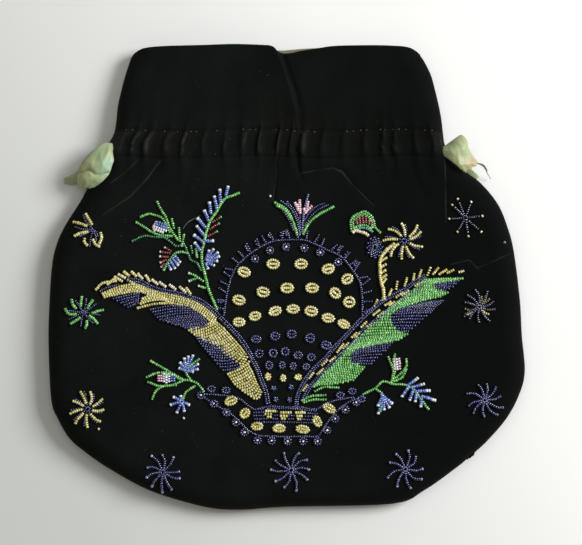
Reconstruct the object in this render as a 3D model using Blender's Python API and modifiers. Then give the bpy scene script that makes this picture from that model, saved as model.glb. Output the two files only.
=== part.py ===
"""A black velvet reticule, a drawstring bag with bead embroidery, lying on its back.

Metres, +Z up. The back lies on z = 0, the mouth points to +Y and the beaded front looks up.
The paper pattern and the bead chart share one grid of small squares: a chart point is
(column from the left, row from the top), and on_bag() lays it on the bag at its real size.
"""
import math

import bmesh
import bpy
import numpy as np
from mathutils import Matrix, Vector
from mathutils.bvhtree import BVHTree

MM = 0.001

# Driving dimensions of the cloth
BAG_WIDTH = 204 * MM
BAG_HEIGHT = 199 * MM
VELVET_THICKNESS = 1.0 * MM
LINING_THICKNESS = 0.4 * MM
BODY_HEIGHT = 12.0 * MM
NECK_HEIGHT = 11.4 * MM
MOUTH_HEIGHT = 9.6 * MM
SEAM_HEIGHT = 4.4 * MM
SEAM_WALL = 1.4 * MM
EDGE_ROLL = 9.0 * MM
SIDE_CROWN = 0.07
GATHER_DEPTH = 1.2 * MM
PLEAT_STEP = 1.3 * MM
CLEARANCE = 0.3 * MM
LINING_CLEARANCE = 0.6 * MM
CASING_DRAW = 4.6 * MM
CORNER_EASE = 1.5 * MM

# Driving dimensions of the two silk drawstrings
RIBBON_WIDTH = 12.0 * MM
RIBBON_CRUSHED_WIDTH = 4.2 * MM
RIBBON_THICKNESS = 0.8 * MM
CHANNEL_CLEARANCE = 0.5 * MM

# Driving dimensions of the beadwork
BEAD = 1.0 * MM
ROW_VALLEY = 0.5 * MM
STAR_RAYS = 9
BERRY = 0.8 * MM
BERRY_SIDES = 6
BERRY_LEVELS = 3
BERRY_SWELL = 1.2
SEWN_GAP = 0.4 * MM
SEWN_DEPTH = 0.4 * MM
BERRY_TURN = 11.0
BERRY_LIFT = 0.033 * MM
STRAND_STAGGER = 0.009 * MM
STAR_PROFILE = ((0.22, 0.0), (0.95, 0.26), (1.0, 0.42))
ROSETTE_SIDES = 8
ROSETTE_RING = 0.35
ROSETTE_CENTRE = 0.6
FIELD_STEPS = 2
BERRY_SQUARES = (3.4, 3.4)
WELD = 0.00001

# The chart
CHART_COLUMNS = 479.0
CHART_ROWS = 467.5
CHART_CENTRE = (286.75, 277.25)
CORNER_ROW = 456.0
MOUTH_ROW = 50.0
CASING_TOP = 127.0
CASING_MIDDLE = 142.0
CASING_BOTTOM = 158.0
SAG_TOP = 250.0
PLEAT_FADE_ROW = 105.0
PLEAT_REACH = 0.25
MOUTH_BAND = 4.9
TINY = 1e-6

# The cut of the bag: its two side seams from the mouth down, its bottom, and its two mouth edges
LEFT_SEAM = ((133, 50), (128, 70), (121, 90), (118, 110), (116, 132), (111, 140), (104, 150),
             (95, 170), (80, 200), (66, 222), (57, 240), (51, 264), (48, 310), (47.4, 345),
             (50, 400), (57, 420), (69, 440), (88, 456))
RIGHT_SEAM = ((417, 50), (429, 65), (436, 84), (442, 110), (443, 130), (446, 150), (462, 167),
              (482, 183), (499, 204), (509, 228), (515, 252), (521, 300), (523, 336), (526, 372),
              (520, 396), (507, 420), (486, 444), (472, 456))
BOTTOM_SEAM = ((88, 456), (109, 470), (150, 492), (204, 508), (240, 511), (285, 508),
               (392, 505), (424, 492), (458, 468), (472, 456))
FRONT_MOUTH = ((133, 50), (160, 46), (230, 43.5), (268, 45), (277, 50), (281, 53), (299, 51),
               (335, 45.5), (390, 44.5), (417, 50))
BACK_MOUTH = ((133, 50), (160, 46), (230, 43.5), (268, 45), (281, 48), (299, 47),
              (335, 44.5), (390, 44.5), (417, 50))

# Gathers: the crest of each fold where it crosses the casing, and how deep they are down the bag
GATHER_CRESTS = (122, 134, 147, 168, 184, 204, 225, 242, 258, 277, 290, 302, 323, 345, 367,
                 385, 396, 417, 433)
PLEAT_TOP_COLUMN = 295.5
PLEAT_CREST = 0.8
PLEAT_FOOT_COLUMN = 298.0
GATHER_ROWS = (50, 65, 115, CASING_TOP, CASING_MIDDLE, CASING_BOTTOM, 170, 190, 220)
GATHER_SHARES = (0.6, 0.7, 1.0, 0.5, 1.0, 0.5, 0.9, 0.35, 0.0)
PLEAT_FOLD = ((277, 50), (286, 74), (292, 92), (297, 110), (298, 127))

BAG_ROWS = (456, 454, 449, 440, 424, 395, 350, 305, 260, 220, 190, 170, CASING_BOTTOM,
            CASING_MIDDLE, CASING_TOP, 115, 90, 65, 50)
LINING_STEP = 1.5
LINING_ROWS = BAG_ROWS[:-1] + (MOUTH_ROW + LINING_STEP,)
LEFT_RIBBON_RISE = 7.0
RIGHT_RIBBON_DROP = 7.5
LEFT_RIBBON_ROW = CASING_MIDDLE - LEFT_RIBBON_RISE
RIGHT_RIBBON_ROW = CASING_MIDDLE + RIGHT_RIBBON_DROP
CASING_LEAD = 12.0
HIDDEN_ENDS = 3
SLOT_STATIONS = 3
EDGE_COLUMNS = (0.0, 0.005, 0.015)
PLAIN_COLUMNS = (0.0, 0.006, 0.02, 0.045, 0.12, 0.3, 0.5, 0.7, 0.88, 0.955, 0.98, 0.994, 1.0)

# Border stars: centre column, centre row, radius in squares, first ray's angle in degrees
STARS = {"star_gold_upper_left": (93, 230, 15, 10), "star_green_left": (84, 312, 18, 0),
         "star_gold_lower_left": (88, 409, 18, 20), "star_navy_bottom_left": (163, 471, 17, 5),
         "star_navy_bottom": (291, 470, 19, 15), "star_navy_bottom_right": (405, 469, 18, 25),
         "star_navy_lower_right": (484, 399, 18, 0), "star_brown_right": (479, 307, 17, 12),
         "star_navy_upper_right": (465, 220, 18, 30), "star_gold_right": (405, 240, 17, 0)}
STAR_COLOURS = {"gold": (0.55, 0.42, 0.09), "green": (0.12, 0.42, 0.13),
                "navy": (0.03, 0.035, 0.18), "brown": (0.16, 0.09, 0.05)}

# Rosettes: column, row, half length and half width in squares, tilt in degrees
GOLD_ROSETTES = ((244, 272, 7, 5.5, 20), (273, 264, 7, 5.5, 0), (301, 264, 7, 5.5, 0),
                 (328, 269, 7, 5.5, -15), (347, 279, 6.5, 5.5, -30), (239, 300, 7, 5.5, 15),
                 (263, 292, 7, 5.5, 10), (287, 288, 7, 5.5, 0), (312, 288, 7, 5.5, 0),
                 (335, 293, 6.5, 5.5, 40), (349, 302, 6.5, 6, 0), (239, 322, 6.5, 5, 0),
                 (255, 316, 6.5, 5, -10), (275, 311, 7, 5, -20), (293, 309, 7, 5, 0),
                 (311, 311, 7, 5.5, 10), (328, 318, 7, 5, 10), (343.5, 324, 7, 4.5, 25))
BASKET_OVALS = ((230, 401.5, 4.5, 2.4, -20), (245, 414, 5, 3.5, -50), (258, 427.5, 5, 3, -8),
                (279, 428.5, 6, 3.5, 0), (301.5, 428.5, 6, 3.5, 8), (315.5, 426, 3.5, 2.5, 62),
                (329.5, 409.5, 5.5, 3, 30))
NAVY_ROSETTES = ((256, 339, 6, 4.5, 0), (275, 336, 5.5, 5, 0), (291.5, 334, 5.5, 5, 0),
                 (310, 338, 5.5, 5.5, 0), (326, 345, 6, 5, 15), (259, 353.5, 5, 5, 0),
                 (273, 353, 5, 5, 0), (285, 351.5, 5, 5, 0), (298, 355, 5.5, 4.5, 0),
                 (311, 357, 5, 4.5, 0), (269, 365, 4.5, 5, 0), (282, 365, 4, 4.5, 0),
                 (293, 366, 4, 4.5, 0), (306, 366.5, 4.5, 4, 0), (268, 376.5, 3.5, 4.5, 0),
                 (283, 378, 3.5, 4.5, 0), (298, 377, 4.5, 3.5, 0), (273.5, 388, 3.5, 3, 0),
                 (291, 387, 3, 3.5, 0), (276, 399, 3, 3.5, 0), (289.5, 399.5, 3, 3.5, 0))

# Bead fields: rows of beads between key rows, each key row from the spine to its tip
LEFT_GOLD_TIP = (((142, 284), (121, 285), (103, 293)), ((145, 292), (125, 291), (106, 297)))
LEFT_GOLD_BAND = (((219, 321), (195, 304), (165, 295), (138, 283)),
                  ((214, 323), (190, 309), (165, 305), (139, 308)))
LEFT_GOLD_FAN = (((219, 320), (189, 330)), ((233, 339), (204, 340)), ((240, 347), (217, 347)),
                 ((246, 357), (229, 355)), ((250, 366), (241, 367)), ((254, 376), (228, 374)),
                 ((258, 385), (237, 384)), ((262, 393), (249, 394)), ((261, 398), (257, 399)))
LEFT_NAVY_TIP = (((136, 295.5), (125, 297), (111, 300)), ((135, 300), (127, 302), (121, 304)),
                 ((132, 305), (129, 306), (126, 307.5)))
LEFT_NAVY_MIDDLE = (((184, 313), (167, 311), (149, 314)),
                    ((202, 320), (186, 320), (171, 321.5)), ((203, 324.5), (194, 325.5), (185, 326)))
LEFT_NAVY_FOOT = (((211, 348.5), (203, 346), (195, 342)), ((221, 356), (211, 353), (203, 350)),
                  ((231, 364), (221, 362), (211, 358)), ((228, 369), (225, 368), (221, 366)))
RIGHT_GREEN = (((429, 281), (440, 279), (462, 279)), ((424, 286), (430, 286), (433, 287)),
               ((420, 291), (436, 292), (449, 294)), ((412, 298), (430, 297), (444, 296)),
               ((406, 302), (413, 301), (422, 300)), ((398, 309), (401, 308.5), (406, 307)),
               ((388, 316), (389, 316), (390, 316)), ((379, 324), (386, 323), (390, 324)),
               ((371, 332), (385, 330), (396, 332)), ((365, 338), (385, 336), (407, 335)),
               ((359, 343), (378, 341), (398, 340)), ((353, 349), (358, 348), (363, 346)),
               ((345, 356), (346, 356), (347, 356)), ((338, 366.5), (352, 367.5), (366, 369)),
               ((331, 372), (345, 373), (360, 373)), ((324, 379), (336, 380), (350, 379)),
               ((313, 389), (325, 388), (339, 388)))
RIGHT_GREEN_LEAF = (((303, 400), (312, 396), (326, 395.5)), ((305, 402), (315, 400), (326, 400.5)))
RIGHT_NAVY_TIP = (((443, 285), (450, 285), (457, 286)), ((443, 288), (448, 288.5), (453, 290)))
RIGHT_NAVY_MIDDLE = (((417, 305), (427, 304), (438, 303)), ((408, 311), (420, 310), (432, 308)),
                     ((397, 317), (410, 316), (426, 315)), ((397, 323), (408, 322.5), (421, 322)),
                     ((402, 329), (407, 329.5), (411, 330)))
RIGHT_NAVY_FOOT = (((373, 348), (382, 346.5), (391, 345)), ((365, 352), (375, 352), (384, 352)),
                   ((357, 357), (368, 357), (378, 357)), ((358, 360), (365, 360.5), (371, 361.5)))

# Strands: threaded rows of beads, each a line of chart points
LEFT_SPINE = ((268, 391), (262, 380), (258, 368), (253, 357), (247, 347), (239, 336), (229, 324),
              (218, 312), (208, 304), (198, 299), (180, 293), (160, 288), (146, 282), (128, 278))
LEFT_FRINGE = (((190.5, 297), (187, 288)), ((184, 295), (180, 286)), ((174.5, 292), (170, 285)),
               ((165, 290), (160, 282)), ((156, 287), (152, 279.5)), ((149, 284), (146, 275)),
               ((142, 281), (139, 274)), ((135, 280), (131, 272)), ((130, 279), (124, 272)),
               ((128, 279), (122, 279), (110, 282), (102, 284), (96, 290)))
RIGHT_SPINE_UPPER = ((297, 401), (298, 396), (302, 387), (315, 367), (335, 346), (358, 322),
                     (383, 300), (394, 295), (405, 289), (413, 282), (424, 275))
RIGHT_SPINE_LOWER = ((302, 399), (309, 388), (329, 366), (352, 343), (376, 320), (400, 300),
                     (418, 288), (426, 279))
RIGHT_FRINGE = (((374, 309), (377, 300)), ((388, 299), (391.5, 289)), ((396, 295), (397.5, 282)),
                ((404, 290), (406.5, 278)), ((412, 284), (414, 273)), ((417, 280), (421, 270)),
                ((422, 277), (430, 268)))
RIGHT_GOLD_DASHES = (((301, 389), (308, 385)), ((308, 379), (319, 375)), ((320, 365), (328, 366)),
                     ((334, 351), (343, 350)), ((349, 337), (358, 337)), ((361, 325), (371, 325)),
                     ((374, 313), (384, 313)), ((386, 303), (395, 303)), ((397, 296), (408, 294)))
ARCH = ((224, 315), (228, 289), (234, 271), (242.5, 260), (257, 249), (271, 242), (283, 240),
        (303, 240), (315, 244), (335.5, 253.5), (346, 262), (355, 275), (361, 288), (362, 317))
ARCH_FRINGE_LENGTH = 9.0
ARCH_FRINGE_COUNT = 18
ARCH_BERRIES = ((255, 255), (270, 247), (286, 244), (304, 244.5), (320, 249.5), (337, 259))
BASKET_RIM = ((207, 394), (221, 395), (238, 398), (249, 406), (256, 411), (269, 407), (285, 408),
              (300, 408), (316, 410), (324, 404), (335.5, 400), (353, 397))
BASKET_HEM = ((206, 394.7), (221, 401), (234, 409), (240, 420), (248, 426), (254, 434), (271, 436),
              (287, 434), (299, 436), (319, 433), (324, 424), (334, 416), (342, 404), (354, 397.6))
BASKET_BAND = ((255.2, 420), (270, 421), (286, 420), (300, 421), (315, 419))
BASKET_STAYS = (((255.5, 410), (257.4, 421)), ((285.3, 407.2), (286.6, 420.8)),
                ((315.2, 409.2), (313, 420)), ((257.5, 419.4), (247.4, 426.6)),
                ((312.6, 418.3), (324.8, 424.6)))
BASKET_BERRIES = ((203.5, 395), (214, 401), (229, 408.5), (236, 419), (246, 428), (257, 437.5),
                  (272, 438), (287, 437), (303, 438), (317, 436), (326.5, 426.5), (334.5, 417.5),
                  (343.5, 406), (352.5, 400))
TULIP_STRANDS = (((299, 227), (292, 219), (284, 209), (275, 203)),
                 ((298, 228), (288, 222), (276, 213)), ((299, 228), (296, 218), (295, 205)),
                 ((300, 228), (300, 216), (300, 201)), ((301, 228), (304, 216), (307, 195)),
                 ((300, 227), (311, 219), (319, 213), (333, 208)),
                 ((301, 228), (314, 224), (328, 215)))
UPPER_LEFT_STRANDS = (
    ((212, 303), (208, 291), (205, 272), (202, 261), (204, 244), (209, 224), (217, 211),
     (226, 198), (239, 193)),
    ((224, 200), (228, 187)), ((220, 206), (219.5, 190)), ((217, 211), (214, 197)),
    ((212, 219), (209, 203)), ((210, 223), (204, 212)), ((207, 231), (198, 219)),
    ((206, 236), (196, 227)), ((205, 243), (194, 236)), ((203, 252), (195, 244)),
    ((210, 224), (220, 217)), ((208, 231), (218, 224)), ((206, 238), (216, 232)),
    ((205, 242), (212, 241)),
    ((205, 272), (197, 262), (190, 259), (187, 250), (183, 244), (176, 245), (167, 239),
     (144, 236), (133, 241)),
    ((176, 244), (171, 229), (166, 217), (157, 202)), ((170, 232), (163, 219), (150, 214), (141, 217)),
    ((172, 236), (158, 235), (148, 230), (137, 223)), ((183, 245), (184, 234)),
    ((180, 245), (179, 228)), ((174, 231), (172, 219)),
    ((190, 256), (181, 252), (174, 254), (168, 263), (164, 270)),
    ((172, 257), (161, 251)), ((170, 259), (160, 257)), ((168, 263), (161, 263)),
    ((206, 282), (197, 278), (189, 273)))
UPPER_LEFT_BERRIES = ((160, 228, 7, 6.5), (172.5, 262.5, 6.5, 6), (208.5, 257, 8, 7))
LOWER_LEFT_STRANDS = (
    ((200, 387), (197, 383), (188, 380), (182, 379), (170, 372), (151, 361)),
    ((190, 380), (186, 372), (192, 364), (199, 359)), ((172, 374), (160, 372), (146, 377)),
    ((184, 379), (176, 385), (162, 386), (148, 383)), ((164, 386), (152, 399)),
    ((198, 384), (186, 391), (182, 401)), ((184, 397), (174, 397)), ((183, 399), (171, 405)),
    ((182, 400), (177, 412)), ((182, 400), (186, 411)), ((183, 398), (190, 404)))
LOWER_LEFT_BERRIES = ((187, 364, 7, 6), (168, 379.5, 8, 5.5))
LOWER_RIGHT_STRANDS = (
    ((363, 394), (375, 388), (381, 382), (393, 384), (404, 384), (413, 389), (420, 398), (428, 409)),
    ((376, 388), (382, 394), (381, 411)), ((391, 383), (393, 372), (388, 357)),
    ((393, 374), (391, 366), (395, 354)), ((392, 380), (402, 374), (406, 359)),
    ((382, 396), (389, 407)), ((382, 396), (391, 402)), ((408, 386), (417, 378)),
    ((413, 389), (425, 385)), ((416, 393), (431, 391)), ((420, 398), (435, 402)),
    ((404, 385), (402, 397)), ((409, 387), (410, 399)), ((415, 393), (415, 403)),
    ((421, 400), (421, 408)))
LOWER_RIGHT_BERRIES = ((397, 365, 5, 6), (383, 403, 8, 5))
TWIG_STRANDS = (((381, 294), (381, 288), (379, 277), (379, 267), (380, 259), (387, 249)),
                ((380, 283), (385, 274)), ((379, 275), (384, 268)), ((379, 267), (384, 259)),
                 ((384, 252), (376, 247), (368, 249), (370, 255)),
                ((376, 248), (376, 239), (369, 230)), ((378, 248), (370, 241)))
TWIG_ROSE = (363, 224, 13, 12)

# Outer runs of the drawstrings, from the side slot to the cut end, as column, row and height;
# the upper run then lies on the shoulder, and the lower one stays beside the seam
LEFT_RIBBON_TOP = ((121, 135, 5.0), (110, 135, 5.0), (105, 136, 5.6), (100, 144, 7.5), (97, 154, 7.5),
                   (93, 165, 7.5), (88, 176, 7.0), (83, 184, 6.0))
LEFT_RIBBON_UNDER = ((121, 135, 3.8), (110, 135, 3.8), (103, 135, 3.0), (92, 146, 2.4),
                     (81, 162, 1.8), (72, 178, 1.4))
RIGHT_RIBBON_TOP = ((440, 150, 5.1), (449, 150, 5.1), (453, 150, 5.4), (458, 151, 7.5), (464, 155, 7.5),
                    (470, 161, 9.0), (476, 168, 9.0))
RIGHT_RIBBON_UNDER = ((440, 149.5, 3.9), (450, 149, 3.9), (457, 147, 3.7), (467, 149, 2.6),
                      (477, 157, 1.8), (485, 167, 1.4))
RIBBON_STRIPS = 4
LAID_GAP = 0.9 * MM

LINEAR_COLOURS = {"velvet": (0.006, 0.007, 0.007), "lining": (0.42, 0.40, 0.24),
                  "ribbon": (0.36, 0.49, 0.27)}
ROUGHNESS = {"velvet": 0.9, "lining": 0.6, "ribbon": 0.5, "glass": 0.25}

SQUARE_X = BAG_WIDTH / CHART_COLUMNS
SQUARE_Y = BAG_HEIGHT / CHART_ROWS


def on_bag(column, row):
    """The real place of a chart point on the bag's plan."""
    return ((column - CHART_CENTRE[0]) * SQUARE_X, (CHART_CENTRE[1] - row) * SQUARE_Y)


def smooth_line(points, steps=5):
    """A Catmull-Rom curve through the points."""
    known = np.array(points, dtype=float)
    padded = np.vstack([2 * known[0] - known[1], known, 2 * known[-1] - known[-2]])
    line = []
    for before, start, end, after in zip(padded, padded[1:], padded[2:], padded[3:]):
        for step in range(steps):
            t = step / steps
            line.append(0.5 * (2 * start + (end - before) * t
                               + (2 * before - 5 * start + 4 * end - after) * t ** 2
                               + (3 * start - before - 3 * end + after) * t ** 3))
    line.append(known[-1])
    return np.array(line)


LEFT_LINE = smooth_line(LEFT_SEAM)
RIGHT_LINE = smooth_line(RIGHT_SEAM)
BOTTOM_LINE = smooth_line(BOTTOM_SEAM)
OUTLINE = np.array([on_bag(*point) for point in
                    np.vstack([LEFT_LINE, BOTTOM_LINE[1:], RIGHT_LINE[::-1][1:]])])


def seam_distance(x, y):
    """How far a point of the plan lies inside the sewn outline."""
    start, end = OUTLINE[:-1], OUTLINE[1:]
    along = end - start
    offset = np.array((x, y)) - start
    share = np.clip((offset * along).sum(1) / (along ** 2).sum(1), 0, 1)
    gap = offset - along * share[:, None]
    return float(np.sqrt((gap ** 2).sum(1).min()))


def edge_roll(x, y):
    """0 at the seam and 1 where the cloth lies flat, rising as a quarter round."""
    share = min(seam_distance(x, y) / EDGE_ROLL, 1.0)
    return math.sqrt(1 - (1 - share) ** 2)


def plan_point(across, row, mouth_line):
    """The plan place of the cloth at a share across the bag and a chart row."""
    left = np.interp(row, LEFT_LINE[:, 1], LEFT_LINE[:, 0])
    right = np.interp(row, RIGHT_LINE[:, 1], RIGHT_LINE[:, 0])
    column = left + (right - left) * across
    bottom_column = LEFT_LINE[-1, 0] + (RIGHT_LINE[-1, 0] - LEFT_LINE[-1, 0]) * across
    sag = np.interp(bottom_column, BOTTOM_LINE[:, 0], BOTTOM_LINE[:, 1]) - CORNER_ROW
    mouth_column = LEFT_LINE[0, 0] + (RIGHT_LINE[0, 0] - LEFT_LINE[0, 0]) * across
    rise = np.interp(mouth_column, mouth_line[:, 0], mouth_line[:, 1]) - MOUTH_ROW
    sag_share = max((row - SAG_TOP) / (CORNER_ROW - SAG_TOP), 0) ** 2
    rise_share = max((CASING_TOP - row) / (CASING_TOP - MOUTH_ROW), 0) ** 2
    return on_bag(column, row + sag * sag_share + rise * rise_share)


def casing_share(column):
    """A casing column as a share across the bag."""
    left = np.interp(CASING_MIDDLE, LEFT_LINE[:, 1], LEFT_LINE[:, 0])
    right = np.interp(CASING_MIDDLE, RIGHT_LINE[:, 1], RIGHT_LINE[:, 0])
    return (column - left) / (right - left)


PLEAT_TOP_SHARE = casing_share(PLEAT_TOP_COLUMN)


def gathered_columns():
    """Shares across the front: the edge columns, each fold's crest and valley, and the pleat."""
    columns = {share: 0.0 for share in EDGE_COLUMNS}
    columns.update({1 - share: 0.0 for share in EDGE_COLUMNS})
    for crest, following in zip(GATHER_CRESTS, GATHER_CRESTS[1:]):
        if not crest < PLEAT_FOOT_COLUMN < following:
            columns[casing_share((crest + following) / 2)] = 0.0
    columns.update({casing_share(crest): 1.0 for crest in GATHER_CRESTS})
    columns[PLEAT_TOP_SHARE] = PLEAT_CREST
    columns[casing_share(PLEAT_FOOT_COLUMN)] = 0.0
    return sorted(columns.items())


def front_height(across, row):
    """The height of the front's outer face where it lies flat, without its gathers."""
    along = np.interp(row, (MOUTH_ROW, CASING_TOP, CASING_BOTTOM, 290, 400, CORNER_ROW),
                      (MOUTH_HEIGHT, NECK_HEIGHT, NECK_HEIGHT, BODY_HEIGHT, BODY_HEIGHT,
                       NECK_HEIGHT))
    crown = SIDE_CROWN * (2 * across - 1) ** 2 if row > CASING_BOTTOM else 0.0
    return along * (1 - crown)


def pleat_height(across, row):
    """How far the frill's left half stands over its right half at the pleat."""
    behind = PLEAT_TOP_SHARE - across
    if row >= CASING_TOP or behind < -TINY:
        return 0.0
    fade = min((CASING_TOP - row) / (CASING_TOP - PLEAT_FADE_ROW), 1.0)
    return PLEAT_STEP * fade * max(1 - behind / PLEAT_REACH, 0.0)


def pleated_share(across, row):
    """Shares across the frill, drawn to the slanting fold of the pleat above the casing."""
    if row >= CASING_TOP:
        return across
    column = np.interp(row, [point[1] for point in PLEAT_FOLD], [point[0] for point in PLEAT_FOLD])
    left = np.interp(row, LEFT_LINE[:, 1], LEFT_LINE[:, 0])
    right = np.interp(row, RIGHT_LINE[:, 1], RIGHT_LINE[:, 0])
    return float(np.interp(across, (0, PLEAT_TOP_SHARE, 1), (0, (column - left) / (right - left), 1)))


FRONT_MOUTH_LINE = smooth_line(FRONT_MOUTH)
BACK_MOUTH_LINE = smooth_line(BACK_MOUTH)
FRONT_WALL_TOP = SEAM_HEIGHT + CLEARANCE / 2 + SEAM_WALL
BACK_WALL_TOP = SEAM_HEIGHT - CLEARANCE / 2 - SEAM_WALL


def front_point(across, row, fold=0.0):
    """A point of the front's outer face; fold is 1 on a gather's crest and 0 in its valley."""
    x, y = plan_point(pleated_share(across, row), row, FRONT_MOUTH_LINE)
    depth = GATHER_DEPTH * np.interp(row, GATHER_ROWS, GATHER_SHARES) * fold
    top = front_height(across, row) + depth + pleat_height(across, row)
    return Vector((x, y, FRONT_WALL_TOP + (top - FRONT_WALL_TOP) * edge_roll(x, y)))


def front_base_point(across, row, _fold=0.0):
    """A point of the front's outer face without gathers or pleat, for what lies under it."""
    x, y = plan_point(across, row, FRONT_MOUTH_LINE)
    top = front_height(across, row)
    return Vector((x, y, FRONT_WALL_TOP + (top - FRONT_WALL_TOP) * edge_roll(x, y)))


def back_point(across, row, _fold=0.0):
    """A point of the back's outer face, flat on the table inside its rolled edge."""
    x, y = plan_point(across, row, BACK_MOUTH_LINE)
    return Vector((x, y, BACK_WALL_TOP * (1 - edge_roll(x, y))))


def material(name, colour, roughness):
    """A plain material of one of the bag's stuffs."""
    made = bpy.data.materials.new(name)
    made.use_nodes = True
    shader = made.node_tree.nodes["Principled BSDF"]
    shader.inputs["Base Color"].default_value = (*colour, 1.0)
    shader.inputs["Roughness"].default_value = roughness
    return made


def new_object(name, mesh, collection):
    """An object for a mesh, linked to a collection."""
    made = bpy.data.objects.new(name, mesh)
    collection.objects.link(made)
    return made


def evaluated_mesh(thing):
    """A mesh copy of an object with its modifiers, in its own coordinates."""
    bpy.context.view_layer.update()
    graph = bpy.context.evaluated_depsgraph_get()
    return bpy.data.meshes.new_from_object(thing.evaluated_get(graph))


def grid_sheet(columns, rows, place):
    """A bmesh grid whose corner (i, j) stands at place(i, j)."""
    sheet = bmesh.new()
    bmesh.ops.create_grid(sheet, x_segments=columns - 1, y_segments=rows - 1, size=1.0)
    for corner in sheet.verts:
        i = round((corner.co.x + 1) / 2 * (columns - 1))
        j = round((corner.co.y + 1) / 2 * (rows - 1))
        corner.co = place(i, j)
    return sheet


def cloth_shell(name, point, columns, rows, rim_height, inset, thickness, slots=()):
    """A sewn panel: its outer face with a wall down to the seam, set in and thickened inwards."""
    sheet = grid_sheet(len(columns), len(rows),
                       lambda i, j: point(columns[i][0], rows[j], columns[i][1]))
    mouth_level = on_bag(0, MOUTH_ROW + MOUTH_BAND)[1]
    sides = [edge for edge in sheet.edges if edge.is_boundary
             and min(corner.co.y for corner in edge.verts) < mouth_level]
    wall = bmesh.ops.extrude_edge_only(sheet, edges=sides)["geom"]
    for corner in [item for item in wall if isinstance(item, bmesh.types.BMVert)]:
        corner.co.z = rim_height
    for face in [item for item in wall if isinstance(item, bmesh.types.BMFace)]:
        centre = face.calc_center_median()
        if any(centre.x * side > 0 and low < centre.y < high for side, low, high in slots):
            bmesh.ops.delete(sheet, geom=[face], context="FACES")
    bmesh.ops.recalc_face_normals(sheet, faces=sheet.faces)
    middle = max(sheet.faces, key=lambda face: face.calc_area())
    faces_up = middle.normal.z > 0
    if faces_up != (point is not back_point):
        bmesh.ops.reverse_faces(sheet, faces=sheet.faces)
    sheet.normal_update()
    normals = {corner: corner.normal.copy() for corner in sheet.verts}
    reach = point(0.0, CASING_MIDDLE).x
    for corner, normal in normals.items():
        height = corner.co.z
        depth, drawn, lift = inset(corner.co.y)
        corner.co -= normal * depth
        corner.co.x *= 1 - drawn / abs(reach)
        corner.co.y += lift
        if abs(height - rim_height) < TINY:
            corner.co.z = height
    mesh = bpy.data.meshes.new(name)
    sheet.to_mesh(mesh)
    sheet.free()
    panel = new_object(name, mesh, BAG)
    solidify = panel.modifiers.new("cloth thickness", "SOLIDIFY")
    solidify.thickness = thickness
    solidify.offset = -1
    return panel


def velvet_inset(_y):
    """The velvet is the outermost layer."""
    return 0.0, 0.0, 0.0


def lining_inset(y):
    """The lining lies against the velvet, and makes room for the drawstrings in the casing."""
    close = VELVET_THICKNESS + LINING_CLEARANCE
    channel = VELVET_THICKNESS + RIBBON_THICKNESS + 2 * CHANNEL_CLEARANCE
    rows = (CASING_TOP - CASING_LEAD, CASING_TOP, CASING_BOTTOM, CASING_BOTTOM + CASING_LEAD,
            CORNER_ROW - CASING_LEAD, CORNER_ROW)
    levels = [-on_bag(0, row)[1] for row in rows]
    depths = (close, channel, channel, close, close, close)
    depth = float(np.interp(-y, levels, depths))
    drawn = float(np.interp(-y, levels, (0, CASING_DRAW, CASING_DRAW, 0, 0, CORNER_EASE)))
    lift = float(np.interp(-y, levels[-2:], (0, CORNER_EASE)))
    return depth, drawn, lift


def slots():
    """The gaps in the side seams, left of the upper drawstring and right of the lower one."""
    top, middle, bottom = (on_bag(0, row)[1] for row in (CASING_TOP, CASING_MIDDLE, CASING_BOTTOM))
    return ((-1, middle, top), (1, bottom, middle))


def plain_columns(shares):
    """Columns without gathers."""
    return [(share, 0.0) for share in shares]


def velvet_panels():
    """The bag's outside: a gathered front and a plain back."""
    front = cloth_shell("velvet_front", front_point, gathered_columns(), BAG_ROWS,
                        SEAM_HEIGHT + CLEARANCE / 2, velvet_inset, VELVET_THICKNESS, slots())
    back = cloth_shell("velvet_back", back_point, plain_columns(PLAIN_COLUMNS), BAG_ROWS,
                       SEAM_HEIGHT - CLEARANCE / 2, velvet_inset, VELVET_THICKNESS, slots())
    return front, back


def lining_panels():
    """The silk bag inside the velvet one."""
    front = cloth_shell("lining_front", front_base_point, plain_columns(PLAIN_COLUMNS),
                        LINING_ROWS, SEAM_HEIGHT + CLEARANCE / 2, lining_inset, LINING_THICKNESS)
    back = cloth_shell("lining_back", back_point, plain_columns(PLAIN_COLUMNS),
                       LINING_ROWS, SEAM_HEIGHT - CLEARANCE / 2, lining_inset, LINING_THICKNESS)
    return front, back


def channel_run(row, from_left):
    """The drawstring's way through the casing: over the front, round the far seam, and back."""
    narrowest = row - (RIBBON_CRUSHED_WIDTH / 2 + CLEARANCE) / SQUARE_Y
    front = [front_base_point(share, narrowest) for share in PLAIN_COLUMNS]
    back = [back_point(share, narrowest) for share in PLAIN_COLUMNS]
    if not from_left:
        front.reverse()
        back.reverse()
    ring = np.array([(place.x, place.z) for place in front + back[::-1]])
    ahead = np.roll(ring, -1, axis=0) - np.roll(ring, 1, axis=0)
    ahead /= np.hypot(ahead[:, 0], ahead[:, 1])[:, None]
    turn = 1 if from_left else -1
    inward = np.stack([ahead[:, 1], -ahead[:, 0]], axis=1) * turn
    inset = VELVET_THICKNESS + CHANNEL_CLEARANCE + RIBBON_THICKNESS / 2
    path = (ring + inward * inset)[HIDDEN_ENDS:-HIDDEN_ENDS]
    return [Vector((x, on_bag(0, row)[1], z)) for x, z in path]


def laid_height(surface, place):
    """The height at which silk lies on the velvet at a place of the plan, if there is any."""
    hit = surface.ray_cast(Vector((place.x, place.y, BAG_HEIGHT)), Vector((0, 0, -1)))[0]
    return hit.z + LAID_GAP + RIBBON_THICKNESS / 2 if hit else 0.0


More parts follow.
